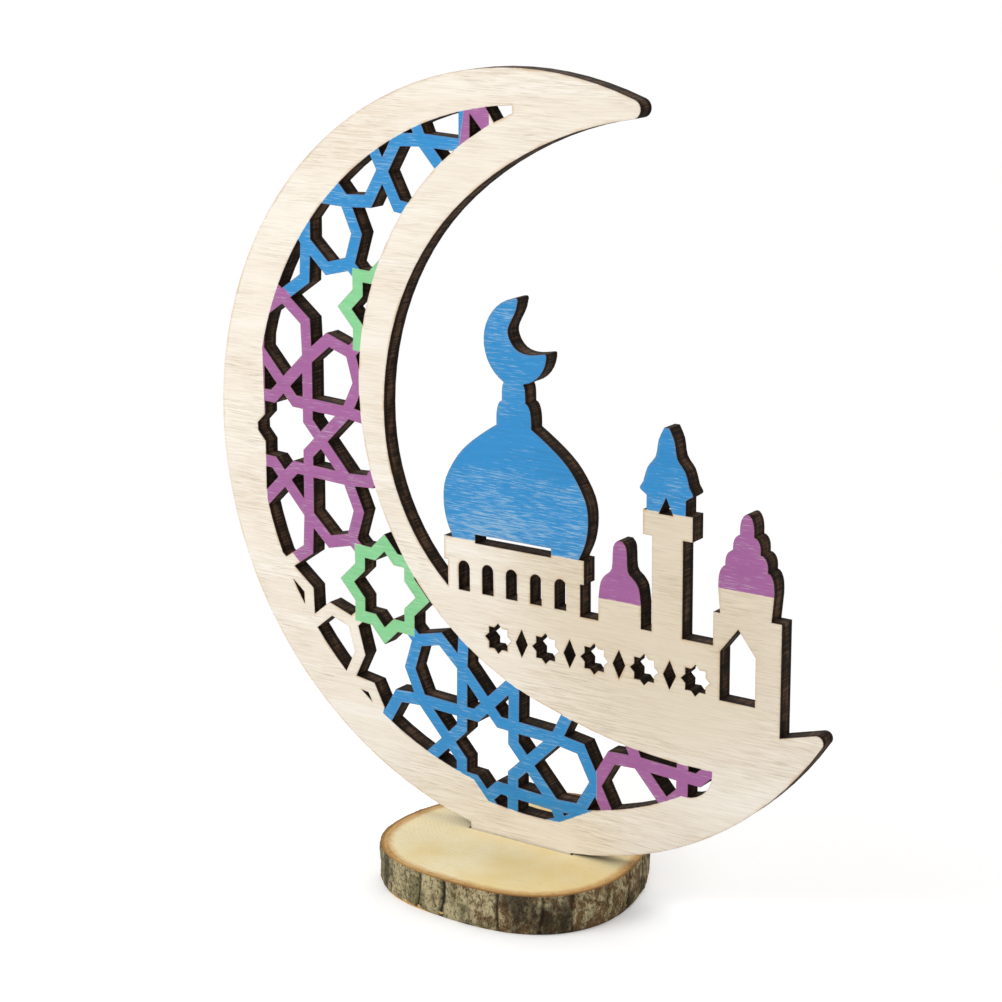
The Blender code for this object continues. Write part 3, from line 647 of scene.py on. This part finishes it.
# small touches to the outlines as they are drawn, in metres
outlineTouch = {
    "archRow": (0.074, 0.084), "archFrom": -0.020, "archWidest": 0.0045, "archShare": 0.93,
    "softSpots": ((0.0351, 0.1092), (0.0503, 0.1092)), "softReach": 0.0013, "softStep": 0.00015,
    "softPasses": 22,
}


def slimmed(loop):
    # the arches look a touch narrower, as soot closes them to the eye
    wide = [x for x, z in loop]
    tall = [z for x, z in loop]
    low, high = outlineTouch["archRow"]
    small = max(wide) - min(wide) < outlineTouch["archWidest"] and min(wide) > outlineTouch["archFrom"]
    if not small or min(tall) < low or max(tall) > high:
        return loop
    middle = 0.5 * (min(wide) + max(wide))
    return [(middle + outlineTouch["archShare"] * (x - middle), z) for x, z in loop]


def softened(loop):
    # the two corners of the eaves are rounded
    def near(point, reach):
        return any(math.dist(point, spot) < reach for spot in outlineTouch["softSpots"])

    reach, fine = outlineTouch["softReach"], []
    for start, end in zip(loop, loop[1:] + loop[:1]):
        close = near(start, 2.0 * reach) or near(end, 2.0 * reach)
        fine += between(start, end, outlineTouch["softStep"]) if close else [start]
    inside = [near(point, reach) for point in fine]
    for k in range(outlineTouch["softPasses"]):
        fine = [(0.25 * (a[0] + c[0]) + 0.5 * b[0], 0.25 * (a[1] + c[1]) + 0.5 * b[1]) if soft else b
                for a, b, c, soft in zip(fine[-1:] + fine[:-1], fine, fine[1:] + fine[:1], inside)]
    return fine


boardLoops = [divided(softened(slimmed(loop)), plyLook["longestStep"])
              for loop in cutLoops("panel_front_ply")]
boardField = fieldPoints(boardLoops)
fineFaces = triangles(boardLoops, boardField)
plainFaces = triangles(boardLoops, [])
print("board drawn:", len(boardLoops), "outlines,", len(boardField), "points between")


def dressPly(nodeName, pieceName, outward, finishes):
    # outward: -1 or 1 for the face ply on that side of the board, 0 for the core
    near, far = depthsOf(nodeName)
    inner = boardField if outward else []
    work = bmesh.new()
    edgeGap = work.verts.layers.float.new("edgeGap")
    shown, hidden = (near, far) if outward <= 0 else (far, near)
    rim = [p for loop in boardLoops for p in loop]
    dropped = shown - outward * plyLook["rimDrop"]
    top = [work.verts.new((x, dropped, z)) for x, z in rim]
    for (x, z), gap in inner:
        vert = work.verts.new((x, shown, z))
        vert[edgeGap] = gap * 1000.0
        top.append(vert)
    base = [work.verts.new((x, hidden, z)) for x, z in rim]
    for face in fineFaces if outward else plainFaces:
        work.faces.new([top[index] for index in face])
    for face in plainFaces:
        work.faces.new([base[index] for index in reversed(face)]).material_index = 1
    first = 0
    for loop in boardLoops:
        for k in range(len(loop)):
            here, after = first + k, first + (k + 1) % len(loop)
            work.faces.new((top[here], top[after], base[after], base[here])).material_index = 1
        first += len(loop)
    bmesh.ops.recalc_face_normals(work, faces=work.faces)
    mesh = bpy.data.meshes.new(pieceName)
    work.to_mesh(mesh)
    work.free()
    for finish in finishes:
        mesh.materials.append(finish)
    mesh.shade_smooth()
    mesh.set_sharp_from_angle(angle=math.radians(plyLook["sharpAngle"]))
    piece = addObject(pieceName, mesh)
    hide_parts(nodeName)
    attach(piece, "panel")
    print(pieceName, len(mesh.polygons), "faces")


dressPly("panel_front_ply", "frontVeneer", -1, (printedFace, faceWall))
dressPly("panel_core", "plyCore", 0, (coreWall, coreWall))
dressPly("panel_back_ply", "backVeneer", 1, (backFace, faceWall))

# the log slice
logLook = {
    "pale": srgb(250, 236, 195), "gold": srgb(244, 219, 155), "late": srgb(206, 172, 112),
    "grey": srgb(204, 190, 152), "ringWidth": 0.0011, "pith": (-0.006, 0.011),
    "paleSide": (-0.82, -0.57, 0.0),
    "liber": srgb(216, 176, 114), "liberDark": srgb(188, 142, 84), "barkInner": srgb(146, 106, 62),
    "barkPale": srgb(198, 184, 142), "barkBrown": srgb(122, 94, 62), "barkMoss": srgb(98, 94, 58),
    # painted shade: near black for the depths of the bark's cracks
    "barkDark": srgb(38, 29, 20), "crackAndShade": srgb(16, 12, 9),
}


def logReach(angle):
    return logShape["radius"] + sum(size * math.cos(count * angle + math.radians(phase))
                                    for count, size, phase in logShape["waves"])


def barkReach(angle):
    # the bark is worn thin in places
    worn = 0.0
    for place, half, depth in barkShape["worn"]:
        off = (math.degrees(angle) - place + 180.0) % 360.0 - 180.0
        worn += depth * math.exp(-(off / half) ** 2)
    return logReach(angle) - worn


def makeEndGrain():
    material, tree, shader, coords = newMaterial("endGrain", logLook["pale"])
    split = splitAxes(tree, coords)
    wobble = grains(tree, coords, (60.0, 60.0, 60.0), 2.0)
    across = minus(tree, split["X"], logLook["pith"][0])
    along = minus(tree, split["Y"], logLook["pith"][1])
    reach = lengthOf(tree, across, along)
    reach = plus(tree, reach, times(tree, minus(tree, wobble, 0.5), 0.006))
    turn = calc(tree, "FRACT", calc(tree, "DIVIDE", reach, logLook["ringWidth"]))
    ring = times(tree, ramp(tree, turn, 0.25, 0.95), ramp(tree, turn, 1.0, 0.95))
    cloud = ramp(tree, grains(tree, coords, (45.0, 45.0, 45.0)), 0.35, 0.7)
    dust = grains(tree, coords, (2600.0, 2600.0, 900.0), 2.0)
    saw = grains(tree, coords, (90.0, 1900.0, 90.0), 2.0)
    tone = blend(tree, cloud, logLook["pale"], logLook["gold"])
    tone = blend(tree, times(tree, ring, 0.10), tone, logLook["late"])
    tone = blend(tree, ramp(tree, dust, 0.48, 0.80, 0.0, 0.40), tone, logLook["grey"])
    tone = blend(tree, ramp(tree, saw, 0.56, 0.75, 0.0, 0.16), tone, logLook["late"])
    # the wood turns golden towards the inner bark
    depth = useGroup(tree, logRim, Vector=coords)["Depth"]
    ragged = grains(tree, coords, (420.0, 420.0, 420.0))
    depth = plus(tree, depth, times(tree, minus(tree, ragged, 0.5), 1.6))
    tone = blend(tree, ramp(tree, depth, 4.2, 2.3, 0.0, 0.85), tone, logLook["liber"])
    # painted shade in the slot: its walls below the top darkened fully and its mouth a little, in the cut
    # walls' soot colour
    inLong = minus(tree, calc(tree, "ABSOLUTE", split["X"]), logShape["slotHalf"][0])
    wide = calc(tree, "ABSOLUTE", minus(tree, split["Y"], logShape["slotMiddle"]))
    inWide = minus(tree, wide, logShape["slotHalf"][1])
    slotNear = ramp(tree, calc(tree, "MAXIMUM", inLong, inWide), 0.00002, 0.0005, 1.0, 0.0)
    deep = ramp(tree, split["Z"], logShape["height"] - 0.0001, logShape["height"] - 0.0006)
    # share of painted shade in and round the slot
    burntAndShade = calc(tree, "MAXIMUM", times(tree, slotNear, 0.35), times(tree, slotNear, deep))
    tone = blend(tree, burntAndShade, tone, cutLook["faceSootAndSlotShade"])
    plug(tree, shader.inputs["Base Color"], tone)
    setSheen(shader, 0.72, 0.25)
    height = plus(tree, times(tree, ring, -0.3), plus(tree, times(tree, dust, 0.4), times(tree, saw, 0.5)))
    bumpInto(tree, shader, height, 0.35, 0.00015)
    return material


def makeLiber():
    # the orange-brown layer between wood and bark
    material, tree, shader, coords = newMaterial("innerBark", logLook["liber"])
    fleck = grains(tree, coords, (700.0, 700.0, 250.0), 4.0, 0.65)
    patch = grains(tree, coords, (130.0, 130.0, 130.0), 2.0)
    share = ramp(tree, plus(tree, times(tree, fleck, 0.6), times(tree, patch, 0.4)), 0.42, 0.64)
    plug(tree, shader.inputs["Base Color"], blend(tree, share, logLook["liber"], logLook["liberDark"]))
    setSheen(shader, 0.8, 0.2)
    bumpInto(tree, shader, fleck, 0.6, 0.0003)
    return material


def makeBark():
    material, tree, shader, coords = newMaterial("roughBark", logLook["barkBrown"])
    crackAndShade = addNode(tree, "ShaderNodeAttribute", attribute_name="crackAndShade").outputs["Fac"]
    cutTop = addNode(tree, "ShaderNodeAttribute", attribute_name="cutTop").outputs["Fac"]
    lichen = grains(tree, coords, (330.0, 330.0, 230.0), 6.0, 0.72, 0.6)
    moss = grains(tree, coords, (120.0, 120.0, 80.0), 5.0, 0.65, move=(2.0, 1.0, 0.5))
    grit = grains(tree, coords, (1700.0, 1700.0, 1000.0), 4.0, 0.75)
    shade = grains(tree, coords, (75.0, 75.0, 40.0), 4.0, 0.6, move=(0.3, 0.2, 0.9))
    # the bark is palest on its left side
    lean = vectorCalc(tree, "DOT_PRODUCT", coords, logLook["paleSide"])["Value"]
    pale = ramp(tree, lean, 0.0, 0.020, 0.0, 0.12)
    tone = blend(tree, ramp(tree, plus(tree, lichen, pale), 0.44, 0.60),
                 logLook["barkBrown"], logLook["barkPale"])
    tone = blend(tree, ramp(tree, moss, 0.50, 0.62, 0.0, 0.7), tone, logLook["barkMoss"])
    tone = blend(tree, ramp(tree, minus(tree, shade, pale), 0.44, 0.58, 0.0, 0.85), tone, logLook["barkDark"])
    tone = blend(tree, ramp(tree, grit, 0.46, 0.64, 0.0, 0.80), tone, logLook["barkDark"])
    # painted shade: the cracks are darkened nearly black
    tone = blend(tree, crackAndShade, tone, logLook["crackAndShade"])
    edge = grains(tree, coords, (900.0, 900.0, 300.0))
    depth = plus(tree, useGroup(tree, logRim, Vector=coords)["Depth"], times(tree, edge, 0.5))
    top = blend(tree, ramp(tree, depth, 0.75, 1.15), logLook["barkInner"], logLook["liberDark"])
    tone = blend(tree, cutTop, tone, top)
    plug(tree, shader.inputs["Base Color"], tone)
    setSheen(shader, 0.88, 0.2)
    height = plus(tree, times(tree, grit, -0.6), times(tree, lichen, 0.9))
    bumpInto(tree, shader, height, 0.9, 0.0007)
    return material


endGrain = makeEndGrain()
liber = makeLiber()
roughBark = makeBark()

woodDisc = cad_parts["log_wood"]
woodDisc.data.materials.clear()
woodDisc.data.materials.append(endGrain)
print("end grain on the disc")

# bark and inner bark as fine rings, the bark shaped by a Geometry Nodes tree
barkCracks = (  # degrees round the log, half width in degrees, depth share, drift
    (-108, 0.7, 0.8, 0.9), (-95, 1.5, 1.0, 1.6), (-66, 0.7, 0.8, 0.5), (-48, 0.8, 0.6, -1.1),
    (-35, 0.45, 0.7, 0.6), (-18, 0.35, 0.4, -0.4), (-2, 0.9, 0.9, 1.0), (14, 0.7, 1.0, -0.9),
    (37, 0.6, 0.7, 0.8), (58, 0.4, 0.5, -0.5), (79, 0.9, 0.9, 1.1), (103, 0.5, 0.6, -0.8),
    (124, 0.8, 0.8, 0.7), (150, 0.5, 0.7, -1.0), (171, 0.9, 0.9, 0.9), (-165, 0.5, 0.5, 0.5),
    (-146, 0.8, 0.8, -0.8), (-127, 0.4, 0.6, 0.6), (-117, 0.35, 0.5, -0.4), (-80, 0.3, 0.4, 0.5))
barkShape = {
    "steps": 900, "rows": 44, "topRows": 8, "lift": 0.00006, "foot": 0.00002, "roundShare": 0.16,
    "topInset": 0.00012, "footFade": 0.0008, "edgeShare": 0.35, "leastRoom": 0.00015, "sharpAngle": 30.0,
    "worn": ((-118.0, 20.0, 0.0006), (42.0, 32.0, 0.0007)),    # degrees round the log, half width, depth
    "relief": {"Plate Height": 0.0011, "Grit Height": 0.0008, "Crack Depth": 0.0010,
               "Flake Size": 0.0005, "Flakes": 120000.0},
    "seed": 7, "flakeShape": (1.0, 0.55, 0.22), "flakeSpread": (0.35, 1.25),
}


def crackAt(angle, level):
    # 0..1 how deep in a crack this spot of the bark lies
    deepest = 0.0
    for place, half, depth, driftBy in barkCracks:
        bend = driftBy * math.sin(3.1 * level + place) + 0.45 * noise.noise(Vector((place, level * 7.0, 0.5)))
        gap = (math.degrees(angle) - place - bend + 180.0) % 360.0 - 180.0
        width = half * (0.65 + 0.6 * noise.noise(Vector((level * 5.0, place, 2.0))) + 0.35)
        if abs(gap) < 3.0 * width:
            deepest = max(deepest, depth * math.exp(-(gap / width) ** 2))
    return deepest


def ringMesh(name, rows, steps, spotAt, labels=(), marksAt=None):
    # spotAt gives the radius and height of a row at an angle, marksAt its values for the labels
    work = bmesh.new()
    layers = [work.verts.layers.float.new(label) for label in labels]
    grid = []
    for row in range(rows):
        line = []
        for k in range(steps):
            angle = 2.0 * math.pi * k / steps
            radius, height = spotAt(row, angle)
            vert = work.verts.new((radius * math.cos(angle), radius * math.sin(angle), height))
            if labels:
                for layer, value in zip(layers, marksAt(row, angle, height)):
                    vert[layer] = value
            line.append(vert)
        grid.append(line)
    for lower, upper in zip(grid, grid[1:] + grid[:1]):
        for k in range(steps):
            after = (k + 1) % steps
            work.faces.new((lower[k], lower[after], upper[after], upper[k]))
    bmesh.ops.recalc_face_normals(work, faces=work.faces)
    mesh = bpy.data.meshes.new(name)
    work.to_mesh(mesh)
    work.free()
    mesh.shade_smooth()
    return mesh


def barkRing():
    shape, height, foot = barkShape, logShape["height"], barkShape["foot"]
    sideRows, topRows = shape["rows"], shape["topRows"]

    def spotAt(row, angle):
        # up the side, inwards over the top, and last the foot on the inside
        inner = logReach(angle) - logShape["bark"]
        if row < sideRows:
            share = row / sideRows
            rounding = logShape["edgeRound"] * max(0.0, 1.0 - share / shape["roundShare"]) ** 2
            return barkReach(angle) - rounding, foot + share * (height - foot)
        if row < sideRows + topRows:
            share = (row - sideRows) / (topRows - 1)
            outer = barkReach(angle) - shape["topInset"]
            return outer + share * (inner - logShape["gap"] - outer), height + shape["lift"] * share
        return inner, foot

    def marksAt(row, angle, level):
        onTop = row - sideRows
        crackAndShade = crackAt(angle, level / height) * (1.0 if onTop < 0 else max(0.0, 1.0 - onTop / 3.0))
        side = min(1.0, level / shape["footFade"]) if onTop < 0 else shape["edgeShare"] if onTop == 0 else 0.0
        room = barkReach(angle) - logReach(angle) + logShape["bark"] - 2.0 * logShape["gap"]
        return crackAndShade, side, min(1.0, max(0.0, (onTop + 0.3) / 1.6)), max(shape["leastRoom"], room)

    return ringMesh("barkRing", sideRows + topRows + 1, shape["steps"], spotAt,
                    ("crackAndShade", "sideShare", "cutTop", "room"), marksAt)


def makeBarkTree():
    # pushes the bark out in plates and in along its cracks, and sprinkles loose flakes
    sizes = [(label, "Float", value) for label, value in barkShape["relief"].items()]
    tree, given, put = newGroup(
        "barkRelief", [("Geometry", "Geometry", None), *sizes, ("Seed", "Int", barkShape["seed"]),
                       ("Finish", "Material", None)], [("Geometry", "Geometry")], "GeometryNodeTree")

    def named(label):
        node = addNode(tree, "GeometryNodeInputNamedAttribute", data_type="FLOAT")
        node.inputs["Name"].default_value = label
        return node.outputs["Attribute"]

    place = addNode(tree, "GeometryNodeInputPosition").outputs[0]
    normal = addNode(tree, "GeometryNodeInputNormal").outputs[0]

    def lumps(scale, detail, rough):
        return speckle(tree, vectorCalc(tree, "MULTIPLY", place, scale)["Vector"], detail, rough)

    plates = minus(tree, lumps((230.0, 230.0, 120.0), 3.0, 0.55), 0.62)
    grit = minus(tree, lumps((1200.0, 1200.0, 700.0), 3.0, 0.6), 0.5)
    side = named("sideShare")
    push = plus(tree, times(tree, plates, given.outputs["Plate Height"]),
                times(tree, grit, given.outputs["Grit Height"]))
    push = minus(tree, times(tree, push, side),
                 times(tree, named("crackAndShade"), times(tree, side, given.outputs["Crack Depth"])))
    push = calc(tree, "MAXIMUM", push, times(tree, named("room"), -1.0))

    def step(kind, outlet, **values):
        # a node with its inputs by name, and the outlet that goes on
        node = addNode(tree, kind)
        plugAll(tree, node, **values)
        return node.outputs[outlet]

    offset = addNode(tree, "ShaderNodeVectorMath", operation="SCALE")
    plug(tree, offset.inputs[0], normal)
    plug(tree, offset.inputs["Scale"], push)
    moved = step("GeometryNodeSetPosition", "Geometry", Geometry=given.outputs["Geometry"],
                 Offset=offset.outputs["Vector"])
    chosen = addNode(tree, "FunctionNodeCompare", data_type="FLOAT", operation="GREATER_THAN")
    plug(tree, chosen.inputs[0], side)
    plug(tree, chosen.inputs[1], 0.9)
    scatter = addNode(tree, "GeometryNodeDistributePointsOnFaces", distribute_method="RANDOM")
    plugAll(tree, scatter, Mesh=moved, Selection=chosen.outputs["Result"],
            Density=given.outputs["Flakes"], Seed=given.outputs["Seed"])
    flake = step("GeometryNodeMeshIcoSphere", "Mesh", Subdivisions=1, Radius=given.outputs["Flake Size"])
    flake = step("GeometryNodeTransform", "Geometry", Geometry=flake, Scale=barkShape["flakeShape"])
    spread = addNode(tree, "FunctionNodeRandomValue", data_type="FLOAT")
    low, high = barkShape["flakeSpread"]
    plugAll(tree, spread, Min=low, Max=high, Seed=given.outputs["Seed"])
    planted = step("GeometryNodeInstanceOnPoints", "Instances", Points=scatter.outputs["Points"],
                   Instance=flake, Rotation=scatter.outputs["Rotation"], Scale=spread.outputs[1])
    joined = addNode(tree, "GeometryNodeJoinGeometry")
    plug(tree, joined.inputs[0], planted)
    plug(tree, joined.inputs[0], moved)
    real = step("GeometryNodeRealizeInstances", "Geometry", Geometry=joined.outputs[0])
    plug(tree, put.inputs[0], step("GeometryNodeSetMaterial", "Geometry", Geometry=real,
                                   Material=given.outputs["Finish"]))
    return tree


def bakeNodes(name, baseMesh, tree, values):
    # runs the tree on the base mesh and keeps the plain result
    carrier = addObject(name + "Base", baseMesh)
    change = carrier.modifiers.new("shape", "NODES")
    change.node_group = tree
    for item in tree.interface.items_tree:
        if item.item_type == "SOCKET" and item.in_out == "INPUT" and item.name in values:
            change[item.identifier] = values[item.name]
    graph = bpy.context.evaluated_depsgraph_get()
    mesh = bpy.data.meshes.new_from_object(carrier.evaluated_get(graph))
    carrier.modifiers.remove(change)
    bpy.data.objects.remove(carrier, do_unlink=True)
    mesh.name = name
    return addObject(name, mesh)


barkPiece = bakeNodes("bark", barkRing(), makeBarkTree(),
                      {**barkShape["relief"], "Seed": barkShape["seed"], "Finish": roughBark})
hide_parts("log_bark")
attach(barkPiece, "base")
print("bark shaped")


def liberRing():
    # runs a hair over the wood's edge and the bark's, as the real layer grows into both
    height, lift, foot = logShape["height"], 0.00004, 0.00003

    def wavy(angle):
        return 0.00022 * noise.noise(Vector((14.0 * math.cos(angle), 14.0 * math.sin(angle), 0.0)))

    outer = logShape["bark"] - logShape["gap"]
    wall = logShape["bark"] + logShape["gap"] + logShape["innerBark"]
    inner = wall + logShape["gap"] + 0.00025
    # depth inside the log's outline, height, and 1 where the ring's inner edge wanders
    spots = ((outer, foot, 0), (outer, height + lift, 0), (0.5 * (outer + inner), height + 1.6 * lift, 0),
             (inner, height + lift, 1), (inner - 0.0001, height + 0.00001, 1),
             (wall, height - 0.0002, 0), (wall, foot, 0))

    def spotAt(row, angle):
        depth, level, loose = spots[row]
        return logReach(angle) - depth + loose * wavy(angle), level

    return ringMesh("liberRing", len(spots), 360, spotAt)


liberMesh = liberRing()
liberMesh.materials.append(liber)
liberMesh.set_sharp_from_angle(angle=math.radians(barkShape["sharpAngle"]))
liberPiece = addObject("innerBark", liberMesh)
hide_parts("log_inner_bark")
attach(liberPiece, "base")
print("inner bark shaped")

# camera, lamps and floor
viewpoint = {
    "focalPixels": 2450.45, "imageSize": 1002, "yaw": 35.0493, "pitch": 15.2530, "roll": -0.5383,
    "distance": 0.600650, "aim": (532.462, 467.417), "boardFront": -0.0006,
}


def placeCamera():
    yaw, pitch, roll = (math.radians(viewpoint[key]) for key in ("yaw", "pitch", "roll"))
    ahead = Vector((-math.sin(yaw) * math.cos(pitch), math.cos(yaw) * math.cos(pitch), -math.sin(pitch)))
    right = Vector((math.cos(yaw), math.sin(yaw), 0.0))
    up = right.cross(ahead)
    across = math.cos(roll) * right + math.sin(roll) * up
    upward = -math.sin(roll) * right + math.cos(roll) * up
    middle = viewpoint["imageSize"] / 2.0
    far = viewpoint["distance"]
    offX = (viewpoint["aim"][0] - middle) * far / viewpoint["focalPixels"]
    offY = (viewpoint["aim"][1] - middle) * far / viewpoint["focalPixels"]
    target = Vector((boardPlace["x"], viewpoint["boardFront"], boardPlace["z"]))
    spot = target - (offX * across - offY * upward + far * ahead)
    data = bpy.data.cameras.new("photoView")
    data.sensor_width = 36.0
    data.lens = viewpoint["focalPixels"] / viewpoint["imageSize"] * 36.0
    data.clip_start = 0.01
    data.clip_end = 20.0
    camera = addObject("photoView", data)
    turned = Matrix((across, upward, -ahead)).transposed().to_4x4()
    camera.matrix_world = Matrix.Translation(spot) @ turned
    bpy.context.scene.camera = camera


def addLamp(name, place, aimHeight, size, power):
    data = bpy.data.lights.new(name, "AREA")
    data.shape = "DISK"
    data.size = size
    data.energy = power
    lamp = addObject(name, data)
    lamp.location = place
    way = Vector((0.0, 0.0, aimHeight)) - Vector(place)
    lamp.rotation_euler = way.to_track_quat("-Z", "Y").to_euler()


studio = {
    "floorSize": 6.0, "floorColour": (0.93, 0.93, 0.93, 1.0), "floorGlow": 0.22,
    "shadowReach": (0.06, 0.21),    # metres from the middle over which the floor's shadow fades
    "worldLight": 0.42, "white": (1.0, 1.0, 1.0, 1.0),
    "lamps": {                      # place, height aimed at, size, power
        "keyLamp": ((-0.32, -0.44, 0.47), 0.12, 0.45, 2.25),
        "fillLamp": ((0.95, -0.75, 0.55), 0.09, 0.9, 2.0),
        "topLamp": ((0.10, 0.25, 1.20), 0.05, 0.9, 4.0),
        "backLamp": ((-0.35, 0.90, 0.60), 0.10, 0.7, 2.8),
    },
}


def seenShare(tree):
    # 1 for what the camera sees, straight or by a reflection, 0 for the light that falls
    path = addNode(tree, "ShaderNodeLightPath").outputs
    return calc(tree, "MAXIMUM", path["Is Camera Ray"],
                calc(tree, "MAXIMUM", path["Is Glossy Ray"], path["Is Transmission Ray"]))


def makeStudio():
    for name, values in studio["lamps"].items():
        addLamp(name, *values)
    world = bpy.data.worlds.new("studioLight")
    bpy.context.scene.world = world
    world.use_nodes = True
    tree = world.node_tree
    back = tree.nodes["Background"]
    plug(tree, back.inputs["Color"], studio["white"])
    strength = ramp(tree, seenShare(tree), 0.0, 1.0, studio["worldLight"], 1.0, smooth=False)
    plug(tree, back.inputs["Strength"], strength)
    work = bmesh.new()
    bmesh.ops.create_grid(work, x_segments=1, y_segments=1, size=studio["floorSize"] / 2.0)
    mesh = bpy.data.meshes.new("floor")
    work.to_mesh(mesh)
    work.free()
    floor = addObject("floor", mesh)
    material, tree, shader, coords = newMaterial("paleFloor", studio["floorColour"])
    shader.inputs["Base Color"].default_value = studio["floorColour"]
    setSheen(shader, 0.9, 0.1)
    seen = seenShare(tree)
    shader.inputs["Emission Color"].default_value = studio["white"]
    plug(tree, shader.inputs["Emission Strength"], times(tree, seen, studio["floorGlow"]))
    # away from the object the floor turns plain white for the camera
    split = splitAxes(tree, coords)
    away = ramp(tree, lengthOf(tree, split["X"], split["Y"]), *studio["shadowReach"])
    white = addNode(tree, "ShaderNodeEmission")
    mixed = addNode(tree, "ShaderNodeMixShader")
    plug(tree, mixed.inputs[0], times(tree, away, seen))
    tree.links.new(shader.outputs[0], mixed.inputs[1])
    tree.links.new(white.outputs[0], mixed.inputs[2])
    tree.links.new(mixed.outputs[0], tree.nodes["Material Output"].inputs["Surface"])
    mesh.materials.append(material)


placeCamera()
makeStudio()
bpy.context.scene.view_settings.view_transform = "Standard"
print("studio ready")
